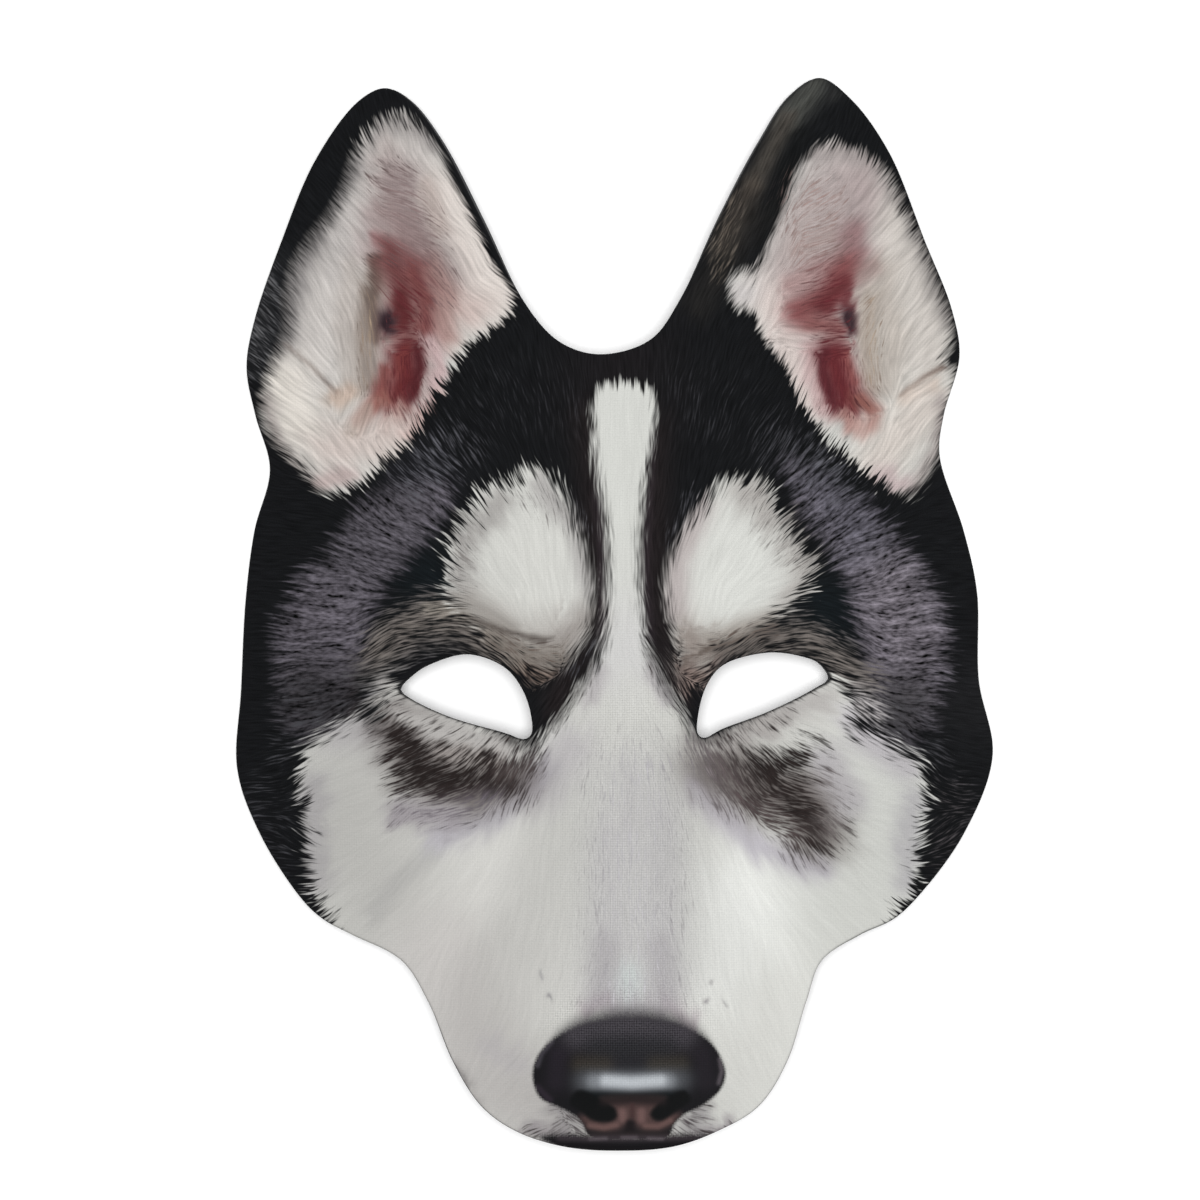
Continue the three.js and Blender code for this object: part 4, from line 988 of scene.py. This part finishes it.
# Streaks of the fur: across and along in millimetres, seed, detail and roughness of the noise.
TUFTS = (1.15, 12.0, 3.0, 1.0, 0.5)
HAIRS = (0.60, 9.0, 11.0, 1.0, 0.5)
FINE_HAIRS = (0.40, 4.5, 23.0, 0.0, 0.5)
FLECKS = (0.6, 2.0, 37.0, 1.0, 0.6)
FUR_STRENGTH = 5.0
HAIR_BEND = 3.5
HAIR_BEND_SCALE = 0.06
# Where hairs begin to cover what lies under them and where they cover all of it.
HAIR_COVER = (0.06, 0.94)
FIRST_HAIRS = (0.02, 0.12)
PAD_COVER = (0.12, 0.88)
PAD_SPECK = 0.45
# The grey bands: softness of the edge in millimetres, reach of the spikes and mottling.
GREY_SOFT = 3.2
GREY_SPIKE = 2.4
GREY_MOTTLE = 0.5
STREAK_GRAIN = 0.36
PATCH_GRAIN = 0.5
# The knit: size of a loop in millimetres, and how its grain shows.
LOOP_SIZE = 1.15
LOOP_SHADE = 0.16
GRAIN_SCALE = 2.4
GRAIN_EVERYWHERE = 0.12
GRAIN_IN_WEAVE = 2.4
KNIT_BUMP = 0.00005
# Black for the cut edge, also laid as painted shade along the rim.
CUT_AND_RIM_SHADE_BLACK = (0.011, 0.011, 0.012)


class Value:
    """One output of a node, which can be reckoned with like a number."""

    def __init__(self, graph, socket):
        self.graph = graph
        self.socket = socket

    def __add__(self, other):
        return self.graph.math("ADD", self, other)

    def __sub__(self, other):
        return self.graph.math("SUBTRACT", self, other)

    def __rsub__(self, other):
        return self.graph.math("SUBTRACT", other, self)

    def __mul__(self, other):
        return self.graph.math("MULTIPLY", self, other)

    def __truediv__(self, other):
        return self.graph.math("DIVIDE", self, other)

    __radd__ = __add__
    __rmul__ = __mul__


class Graph:
    """Short ways to add nodes to one material."""

    def __init__(self, name):
        self.material = bpy.data.materials.new(name)
        self.material.use_nodes = True
        self.nodes = self.material.node_tree.nodes
        self.links = self.material.node_tree.links
        self.shader = self.nodes["Principled BSDF"]

    def put(self, socket, value):
        if isinstance(value, Value):
            self.links.new(value.socket, socket)
        elif isinstance(value, tuple) and len(value) == 3 and len(socket.default_value) == 4:
            socket.default_value = (*value, 1)
        else:
            socket.default_value = value

    def add(self, kind, output, inputs=(), **settings):
        """One output of a new node, with the node's settings and inputs given."""
        node = self.nodes.new("ShaderNode" + kind)
        for name, setting in settings.items():
            setattr(node, name, setting)
        for key, value in dict(inputs).items():
            self.put(node.inputs[key], value)
        return Value(self, node.outputs[output])

    def math(self, operation, *values, clamp=False):
        return self.add("Math", 0, enumerate(values), operation=operation, use_clamp=clamp)

    def vector(self, operation, *values):
        return self.add("VectorMath", 0, enumerate(values), operation=operation)

    def field(self, name):
        return self.add("Attribute", "Vector", attribute_name=name)

    def parts(self, value):
        node = self.nodes.new("ShaderNodeSeparateXYZ")
        self.put(node.inputs[0], value)
        return [Value(self, socket) for socket in node.outputs]

    def joined(self, x, y, z=0.0):
        return self.add("CombineXYZ", 0, enumerate((x, y, z)))

    def shaded(self, colour, share):
        """A colour made darker or lighter by a share."""
        return self.vector("MULTIPLY", colour, self.joined(share, share, share))

    def noise(self, place, scale=1.0, detail=2.0, roughness=0.5, dimensions="3D", output="Fac"):
        inputs = {"Vector": place, "Scale": scale, "Detail": detail, "Roughness": roughness}
        return self.add("TexNoise", output, inputs, noise_dimensions=dimensions)

    def step(self, value, low, high):
        inputs = {"Value": value, "From Min": low, "From Max": high}
        return self.add("MapRange", "Result", inputs, interpolation_type="SMOOTHSTEP")

    def mix(self, share, first, second):
        """A mix of two colours, which are inputs 6 and 7 of the node, with output 2 as the result."""
        return self.add("Mix", 2, {0: share, 6: first, 7: second}, data_type="RGBA")

    def bump(self, height, distance, strength):
        return self.add("Bump", "Normal", {"Distance": distance, "Strength": strength, "Height": height})

    def surface(self, inputs):
        for name, value in inputs.items():
            self.put(self.shader.inputs[name], value)
        return self.material


def fur_field(graph, place, lay, across, along, seed, detail, roughness):
    """Streaks along the lay of the fur, about -1 to 1: two fixed directions are blended at each place."""
    turns, share = lay
    parts = []
    for offset, weight in ((0.0, 1.0 - share), (1.0, share)):
        index = graph.math("MODULO", turns + offset, float(LAY_BINS))
        inputs = {"Vector": place, "Angle": index * (-math.pi / LAY_BINS)}
        turned = graph.add("VectorRotate", 0, inputs, rotation_type="Z_AXIS")
        flat = graph.vector("MULTIPLY", turned, (1 / along, 1 / across, 0.0))
        shift = index * HAIR_SHIFT
        moved = graph.vector("ADD", flat, graph.joined(shift + seed, shift + seed * HAIR_SHIFT_UP))
        parts.append((graph.noise(moved, 1.0, detail, roughness, "2D") - 0.5) * weight)
    rest = 1.0 - share
    size = graph.math("SQRT", rest * rest + share * share)
    return (parts[0] + parts[1]) / size * FUR_STRENGTH


def lay_bins(graph):
    """Which fixed direction is below the lay of the fur, and the share of the next one."""
    x, y, _ = graph.parts(graph.field("lay"))
    turn = graph.math("ARCTAN2", y, x) / (2 * math.pi)
    bins = graph.math("FRACT", turn + 1.0) * float(LAY_BINS)
    index = graph.math("FLOOR", bins)
    return index, bins - index


def printed_knit():
    graph = Graph("printed_knit")
    place = graph.vector("MULTIPLY", graph.add("TexCoord", "Object"), (1 / MM, 1 / MM, 0.0))
    wander = graph.noise(place, HAIR_BEND_SCALE, 1.0, output="Color")
    bend = graph.vector("SUBTRACT", wander, (0.5, 0.5, 0.5))
    bent = graph.vector("ADD", place, graph.vector("MULTIPLY", bend, (HAIR_BEND, HAIR_BEND, 0.0)))
    lay = lay_bins(graph)
    kinds = (TUFTS, HAIRS, FINE_HAIRS, FLECKS)
    tufts, hairs, fine, flecks = (fur_field(graph, bent, lay, *kind) for kind in kinds)
    fur = 0.42 * tufts + 0.42 * hairs + 0.25 * fine
    texture = 0.45 * hairs + 0.55 * fine
    strands = 0.55 * tufts + 0.5 * hairs
    mixed = 0.36 * fur + 0.10 * flecks + 0.10 * fine

    light_edge, grey_edge, dark_hairs = graph.parts(graph.field("edges"))
    spike, soft, weave_shows = graph.parts(graph.field("spikes"))
    dark_grain, light_grain, streak = graph.parts(graph.field("grain"))
    # cut holds the dark cut edge and the painted shade along the rim beside it.
    cut, pad, _ = graph.parts(graph.field("cut_shade_and_nose"))

    def grained(colour, amount, pattern=texture):
        return graph.shaded(colour, graph.math("MAXIMUM", 1.0 + amount * pattern, 0.1))

    def hair_cover(density):
        """A share of hairs that grows with the density, from none at 0 to all at 1."""
        return graph.step(density + mixed, *HAIR_COVER) * graph.step(density, *FIRST_HAIRS)

    # The coats, from the lowest to the highest.
    colour = grained(graph.field("coat_dark"), dark_grain)
    grey = graph.shaded(graph.field("coat_grey"), 1.0 + (flecks + tufts) * GREY_MOTTLE)
    colour = graph.mix(graph.step(grey_edge + fur * GREY_SPIKE, -GREY_SOFT, GREY_SOFT), colour, grey)
    colour = graph.mix(hair_cover(streak), colour, grained(graph.field("coat_streak"), STREAK_GRAIN))
    light_cover = graph.step(light_edge + spike * fur, soft * -1.0, soft)
    lace = light_cover * (1.0 - light_cover) * texture
    light_cover = graph.math("ADD", light_cover, lace, clamp=True)
    colour = graph.mix(light_cover, colour, grained(graph.field("coat_light"), light_grain, strands))
    colour = graph.mix(hair_cover(dark_hairs), colour, grained(graph.field("coat_patch"), PATCH_GRAIN))

    # The knit: fine loops on the diagonal, seen as grain and felt as bump.
    x, y, _ = graph.parts(place)
    waves = 2 * math.pi / LOOP_SIZE
    loops = graph.math("SINE", (x + y) * waves) * graph.math("SINE", (x - y) * waves)
    grain = graph.noise(place, GRAIN_SCALE, 1.0)
    speck = loops * LOOP_SHADE + (grain - 0.5)
    colour = graph.mix(graph.step(pad + speck * PAD_SPECK, *PAD_COVER), colour, graph.field("coat_nose"))
    knit = loops * weave_shows + (grain - 0.5) * (GRAIN_EVERYWHERE + weave_shows * GRAIN_IN_WEAVE)
    # The cut edge and the painted rim shade beside it are mixed towards black.
    colour = graph.mix(cut, graph.shaded(colour, 1.0 + knit), CUT_AND_RIM_SHADE_BLACK)
    return graph.surface({
        "Base Color": colour,
        "Roughness": 0.85,
        "Specular IOR Level": 0.06,
        "Normal": graph.bump(loops * 0.5 + grain, KNIT_BUMP, 0.5),
    })


def black_foam():
    graph = Graph("black_foam")
    place = graph.add("TexCoord", "Object")
    cells = graph.add("TexVoronoi", "Distance", {"Scale": 2600, "Vector": place})
    cloud = graph.noise(place, 90, 3.0)
    return graph.surface({
        "Base Color": graph.shaded((0.026, 0.026, 0.029), 0.7 + cloud * 0.6),
        "Roughness": 0.72 + cloud * 0.2,
        "Specular IOR Level": 0.35,
        "Normal": graph.bump(cells + cloud, 0.00012, 0.5),
    })


def black_elastic():
    graph = Graph("black_elastic")
    run, across, _ = graph.parts(graph.field("run"))
    picks = graph.math("SINE", run * (2 * math.pi / PICK_LENGTH))
    ribs = graph.math("SINE", across * (2 * math.pi / RIB_WIDTH))
    weave = picks * ribs
    fuzz = graph.noise(graph.add("TexCoord", "Object"), 1500, 2.0)
    return graph.surface({
        "Base Color": graph.shaded((0.018, 0.018, 0.020), 0.8 + weave * 0.25 + fuzz * 0.4),
        "Roughness": 0.68,
        "Sheen Weight": 0.2,
        "Normal": graph.bump(weave + fuzz, 0.0002, 0.6),
    })


def print_line(outline, step=PRINT_STEP):
    return even_steps(smooth_line(outline, True, PRINT_SAMPLES), step, True)


def nose_print(pixel):
    """The nose and mouth: colours at each point, and how far they cover the fur."""
    def shape(outline, soft):
        distance = signed_distance(pixel, print_line(outline, NOSE_STEP))
        return np.clip(0.5 + 0.5 * distance / soft, 0, 1)

    soft = NOSE_SOFT + NOSE_TOP_SOFT * smoothstep(NOSE_TOP - pixel[:, 1], 0, NOSE_TOP_RUN)
    colour = painted(pixel, NOSE_BASE, NOSE_PAINT)
    for outline, blur, paint, strength in NOSE_SHAPES:
        colour += strength * shape(outline, blur)[:, None] * (np.array(paint, float) - colour)
    return painted(pixel, colour, NOSE_TOUCHES), np.maximum(shape(NOSE, soft), shape(MOUTH, MOUTH_SOFT))


def edge_style(pixel):
    """The reach of the spikes and the softness at each point, from the styles around it."""
    total = np.zeros((len(pixel), 2))
    weight = np.zeros(len(pixel))
    for x, y, spike, soft in EDGE_STYLE:
        share = nearness(pixel, x, y, STYLE_BLUR, STYLE_POWER)
        total += share[:, None] * np.array((spike, soft))
        weight += share
    return total / weight[:, None]


def paint_print(piece, places, gap, is_cut):
    """The fields of the print at each point: edges, spikes, grain, lay and colours."""
    pixel = places * (1, -1) / PIXEL + PICTURE_MIDDLE
    lay = lay_of(pixel)

    def inside_of(*outlines):
        return np.max([signed_distance(pixel, print_line(outline)) * PIXEL for outline in outlines], axis=0)

    ears = inside_of(LEFT_EAR, RIGHT_EAR)
    brows = inside_of(LEFT_BROW, RIGHT_BROW)
    bands = inside_of(LEFT_BAND, RIGHT_BAND)
    tuft = TUFT_RADIUS - np.hypot(pixel[:, 0] - TUFT[0], (pixel[:, 1] - TUFT[1]) * TUFT_SQUASH) * PIXEL
    light = np.max([inside_of(WHITE_FACE), brows, ears, tuft], axis=0)

    turn = np.arctan2(lay[:, 1], lay[:, 0]) / 2
    along_hair = np.stack([np.cos(turn), -np.sin(turn)], axis=1)
    drag = sum(reach * fur_noise(places, lay, across, along, seed) for across, along, seed, reach in DRAGS)
    drag = drag * (1 - EAR_DRAG_CUT * smoothstep(ears, -1, 1))
    dragged = pixel + along_hair * drag[:, None]
    style = edge_style(pixel)

    streak = painted(dragged, 0.0, STREAK_DENSITY)[:, 0]
    dark_hairs = painted(dragged, 0.0, PATCH_DENSITY)[:, 0]
    light_grain = LIGHT_GRAIN + EAR_GRAIN * smoothstep(ears, -2, 3) + BROW_GRAIN * smoothstep(brows, -2, 3)
    light_grain = light_grain + RIDGE_GRAIN * stroke_share(pixel, RIDGE, RIDGE_RADIUS)
    grain = np.stack([np.full(len(pixel), DARK_GRAIN), light_grain, streak], axis=1)

    nose, nose_cover = nose_print(pixel)
    # Painted shade along the front of the rim, together with the dark cut edge and back.
    rim_shade_strength = painted(pixel, EDGE_BASE, EDGE_SHADE)[:, 0]
    cut = np.maximum(is_cut, rim_shade_strength * (1 - smoothstep(gap, *EDGE_FADE)))
    weave = painted(pixel, WEAVE_BASE, WEAVE_SHOWS)[:, 0]
    give_vectors(piece, "edges", np.stack([light, bands, dark_hairs], axis=1))
    give_vectors(piece, "spikes", np.stack([style[:, 0], style[:, 1], weave], axis=1))
    give_vectors(piece, "grain", grain)
    give_vectors(piece, "cut_shade_and_nose", np.stack([cut, nose_cover, np.zeros(len(pixel))], axis=1))
    give_vectors(piece, "lay", lay)

    def coat(name, base, strokes):
        give_vectors(piece, name, linear(painted(dragged, base, strokes)) / LIGHT_LEVEL)

    coat("coat_dark", DARK_BASE, DARK_PAINT)
    coat("coat_grey", GREY_BASE, GREY_PAINT)
    coat("coat_light", LIGHT_BASE, LIGHT_PAINT)
    coat("coat_streak", STREAK_BASE, STREAK_PAINT)
    coat("coat_patch", PATCH_BASE, PATCH_PAINT)
    give_vectors(piece, "coat_nose", linear(nose) / LIGHT_LEVEL)


# Steps along the cuts, facets between, rows beside the cuts and rounding of the edges, in millimetres.
RIM_STEP = 0.8
RIM_ROWS = [0.1, 0.3, 0.6, 1.0]
NOSE_FACET = 0.5
CLOSE_FACET = 0.72
FINE_FACET = 1.05
COVER_BACK_FACET = 4.0
COVER_ROUNDING = 0.7
WALL_GAP = 0.04
NOSE_BOX = ((-24.0, -134.0), (30.0, -86.0))
CLOSE_BOXES = [
    ((-64.0, -56.0), (-12.0, 4.0)),
    ((10.0, -60.0), (64.0, 4.0)),
    ((-76.0, 38.0), (-30.0, 104.0)),
    ((34.0, 38.0), (84.0, 104.0)),
]
FOAM_RIM_STEP = 1.6
FOAM_EYE_STEP = 1.2
FOAM_FRONT_ROWS = [0.25, 0.7]
FOAM_FRONT_FACET = 5.0
FOAM_ROWS = [0.15, 0.45, 0.9]
FOAM_FACET = 2.2
FOAM_ROUNDING = 0.5
FOAM_GAP = 0.05
PATCH_STEP = 0.8
PATCH_ROWS = [0.15, 0.45, 0.8]
PATCH_FACET = 1.1
PATCH_ROUNDING = 0.6
PATCH_TENT = (0.6, 3.4)
SHARP = 50
BAND_SHARP = 60


def make_cover(material):
    cuts = [mask_outline(RIM_STEP), eye_hole(-1, RIM_STEP), eye_hole(1, RIM_STEP)]
    grids = [(NOSE_FACET, [NOSE_BOX]), (CLOSE_FACET, CLOSE_BOXES), (FINE_FACET, None)]
    places, triangles, gap = flat_sheet(cuts, RIM_ROWS, grids)
    front = pressed(places, rounded(gap, COVER_ROUNDING))
    back_places, back_triangles, _ = flat_sheet(cuts, [], [(COVER_BACK_FACET, None)])
    back = pressed(back_places, COVER_THICKNESS)
    rim = np.concatenate(cuts)
    wall = pressed(rim, COVER_ROUNDING + WALL_GAP)
    points, faces = layered_body((front, triangles), (back, back_triangles), cuts, [wall])
    piece = mesh_object("printed_cover_cloth", points, faces, SHARP)
    unseen = len(rim) + len(back_places)
    is_cut = np.concatenate([np.zeros(len(places)), np.ones(unseen)])
    every_gap = np.concatenate([gap, np.zeros(unseen)])
    paint_print(piece, np.concatenate([places, rim, back_places]), every_gap, is_cut)
    piece.data.materials.append(material)
    return piece


def make_foam(material):
    cuts = [mask_outline(FOAM_RIM_STEP), eye_hole(-1, FOAM_EYE_STEP), eye_hole(1, FOAM_EYE_STEP)]
    places, triangles, _ = flat_sheet(cuts, FOAM_FRONT_ROWS, [(FOAM_FRONT_FACET, None)])
    front = pressed(places, COVER_THICKNESS + FOAM_GAP)
    back_places, back_triangles, back_gap = flat_sheet(cuts, FOAM_ROWS, [(FOAM_FACET, None)])
    back = pressed(back_places, SHELL_THICKNESS - rounded(back_gap, FOAM_ROUNDING))
    rim = np.concatenate(cuts)
    middle = pressed(rim, (COVER_THICKNESS + SHELL_THICKNESS) / 2)
    points, faces = layered_body((front, triangles), (back, back_triangles), cuts, [middle])
    piece = mesh_object("foam_shell_body", points, faces, SHARP)
    piece.data.materials.append(material)
    return piece


def patch_middle(side):
    return np.array([side * PATCH_ACROSS * WIDTH, PATCH_UP * HEIGHT])


def patch_outline(side):
    half_length, half_width = PATCH_LENGTH / 2 - PATCH_CORNER, PATCH_WIDTH / 2 - PATCH_CORNER
    corners = []
    for sx, sy, start in ((1, 1, 0), (-1, 1, 90), (-1, -1, 180), (1, -1, 270)):
        for turn in range(0, 91, 10):
            angle = math.radians(start + turn)
            reach_x, reach_y = PATCH_CORNER * math.cos(angle), PATCH_CORNER * math.sin(angle)
            corners.append((sx * half_length + reach_x, sy * half_width + reach_y))
    return even_steps(np.array(corners), PATCH_STEP, True) + patch_middle(side)


def make_patch(side, name, material):
    middle = patch_middle(side)

    def near(places):
        """How deep the patch's near face lies, which lifts over the end of the band."""
        beside = np.abs(places[:, 1] - middle[1]) - BAND_WIDTH / 2 - LAYER_GAP
        beyond = side * (places[:, 0] - middle[0]) - (BAND_GRIP - PATCH_LENGTH / 2) - LAYER_GAP
        tent = 1 - smoothstep(np.maximum(beside, beyond), *PATCH_TENT)
        return SHELL_THICKNESS + LAYER_GAP + (LAYER_GAP + BAND_THICKNESS) * tent

    cuts = [patch_outline(side)]
    places, triangles, _ = flat_sheet(cuts, [], [(PATCH_FACET, None)])
    back_places, back_triangles, gap = flat_sheet(cuts, PATCH_ROWS, [(PATCH_FACET, None)])
    front = pressed(places, near(places))
    back = pressed(back_places, near(back_places) + PATCH_THICKNESS - rounded(gap, PATCH_ROUNDING))
    points, faces = layered_body((front, triangles), (back, back_triangles), cuts)
    piece = mesh_object(name, points, faces, SHARP)
    piece.data.materials.append(material)
    return piece


def glued_point(x, y):
    place = np.array([[x, y]])
    return pressed(place, SHELL_THICKNESS + LAYER_GAP + BAND_THICKNESS / 2)[0]


def band_line():
    inner = PATCH_ACROSS * WIDTH - PATCH_LENGTH / 2
    standing = BAND_WIDTH / 2 + LAYER_GAP

    def half(side):
        held = [side * (inner + share * BAND_GRIP) for share in (1, 0.75, 0.5, 0.25, 0)]
        points = [glued_point(x, PATCH_UP * HEIGHT) for x in held]
        for across, up, lift in BAND_BOW:
            point = glued_point(-side * across * WIDTH, up * HEIGHT)
            point[2] = standing + (point[2] - standing) * lift
            points.append(point)
        return points

    top = np.array([0, BAND_TOP_UP * HEIGHT, standing])
    return smooth_line([*half(-1), top, *reversed(half(1))], False)


def make_band(material):
    centres = even_steps(band_line(), BAND_STEP, False)
    count = len(centres)
    runs = np.gradient(centres, axis=0)
    runs /= np.linalg.norm(runs, axis=1, keepdims=True)
    share = np.linspace(0, 1, count)
    turned = smoothstep(np.minimum(share, 1 - share), TWIST_FROM, TWIST_TO) * math.pi / 2
    across = np.cross(relief_normal(centres[:, 0], centres[:, 1]), runs)
    across /= np.linalg.norm(across, axis=1, keepdims=True)
    across = across * np.cos(turned)[:, None]
    across[:, 2] += np.sin(turned)
    across -= (across * runs).sum(axis=1, keepdims=True) * runs
    across /= np.linalg.norm(across, axis=1, keepdims=True)
    outwards = np.cross(runs, across)
    ribs = np.linspace(-1, 1, RIB_POINTS)
    swell = 0.5 * BAND_THICKNESS - RIB_DEPTH * (1 - np.abs(np.cos(np.pi * ribs * BAND_WIDTH / 2 / RIB_WIDTH)))
    swell[0] = swell[-1] = BAND_EDGE * BAND_THICKNESS
    section = [(r * BAND_WIDTH / 2, s) for r, s in zip(ribs, swell)]
    section += [(r * BAND_WIDTH / 2, -s) for r, s in zip(ribs[::-1], swell[::-1])]
    section = np.array(section)[::-1]
    around = len(section)
    points = centres[:, None, :] + section[None, :, 0:1] * across[:, None, :]
    points = points + section[None, :, 1:2] * outwards[:, None, :]
    points = points.reshape(-1, 3)
    faces = []
    k = np.arange(around)
    for i in range(count - 1):
        a, b = i * around + k, i * around + (k + 1) % around
        faces.append(np.stack([a, b, b + around, a + around], axis=1))
    faces = np.concatenate(faces)
    caps = []
    for base, flip in ((0, True), ((count - 1) * around, False)):
        for j in range(around // 2 - 1):
            quad = [base + j, base + j + 1, base + around - 2 - j, base + around - 1 - j]
            caps.append(quad[::-1] if flip else quad)
    faces = np.concatenate([faces, np.array(caps)])
    piece = mesh_object("elastic_band_weave", points, faces, BAND_SHARP)
    run_length = np.repeat(np.arange(count) * BAND_STEP, around)
    side_place = np.tile(section[:, 0], count)
    give_vectors(piece, "run", np.stack([run_length, side_place, np.zeros(count * around)], axis=1))
    piece.data.materials.append(material)
    return piece


knit = printed_knit()
foam = black_foam()
elastic = black_elastic()

shell = make_foam(foam)
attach(shell, "root")
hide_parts("foam_shell")

cover = make_cover(knit)
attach(cover, "root")
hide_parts("printed_cover")

for side, name in ((-1, "band_patch_left"), (1, "band_patch_right")):
    patch = make_patch(side, name + "_pad", foam)
    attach(patch, "root")
    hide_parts(name)

band = make_band(elastic)
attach(band, "root")
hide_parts("elastic_band")

# The pale table, the lights and the camera.
floor_mesh = bpy.data.meshes.new("table_top")
floor_mesh.from_pydata([(-4, -4, 0), (4, -4, 0), (4, 4, 0), (-4, 4, 0)], [], [(0, 1, 2, 3)])
floor = bpy.data.objects.new("table_top", floor_mesh)
bpy.context.scene.collection.objects.link(floor)
pale = Graph("pale_table")
floor_mesh.materials.append(pale.surface({
    "Base Color": (0.93, 0.93, 0.93),
    "Roughness": 0.9,
    "Specular IOR Level": 0.1,
    "Emission Color": (1.0, 1.0, 1.0),
    "Emission Strength": 0.12,
}))


def add_light(kind, name, place, energy, size):
    """A lamp that points at the middle of the table. size is an angle for the sun, else a width."""
    data = bpy.data.lights.new(name, kind)
    data.energy = energy
    if kind == "SUN":
        data.angle = math.radians(size)
    else:
        data.shape = "SQUARE"
        data.size = size
    lamp = bpy.data.objects.new(name, data)
    lamp.location = place
    lamp.rotation_euler = (Vector() - Vector(place)).to_track_quat("-Z", "Y").to_euler()
    bpy.context.scene.collection.objects.link(lamp)


add_light("SUN", "overhead", (0, 0, 3), energy=2.95, size=12)
add_light("AREA", "upper_right_softbox", (1.1, 1.0, 1.6), energy=6, size=1.2)

scene = bpy.context.scene
world = bpy.data.worlds.new("studio") if scene.world is None else scene.world
scene.world = world
world.use_nodes = True
backdrop = world.node_tree.nodes["Background"]
backdrop.inputs["Color"].default_value = (1, 1, 1, 1)
backdrop.inputs["Strength"].default_value = 0.17
scene.view_settings.view_transform = "Standard"

# The camera's height and the level where a pixel has its size are in metres.
PICTURE_SIZE = 1200
CAMERA_HEIGHT = 4.0
FACE_LEVEL = 0.015
SENSOR = 36
camera_data = bpy.data.cameras.new("straight_down")
camera_data.sensor_width = SENSOR
camera_data.lens = SENSOR * (CAMERA_HEIGHT - FACE_LEVEL) / (PICTURE_SIZE * PIXEL * MM)
camera_data.clip_end = 20
camera = bpy.data.objects.new("straight_down", camera_data)
camera.location = (
    (PICTURE_SIZE / 2 - PICTURE_MIDDLE[0]) * PIXEL * MM,
    (PICTURE_MIDDLE[1] - PICTURE_SIZE / 2) * PIXEL * MM,
    CAMERA_HEIGHT,
)
scene.collection.objects.link(camera)
scene.camera = camera
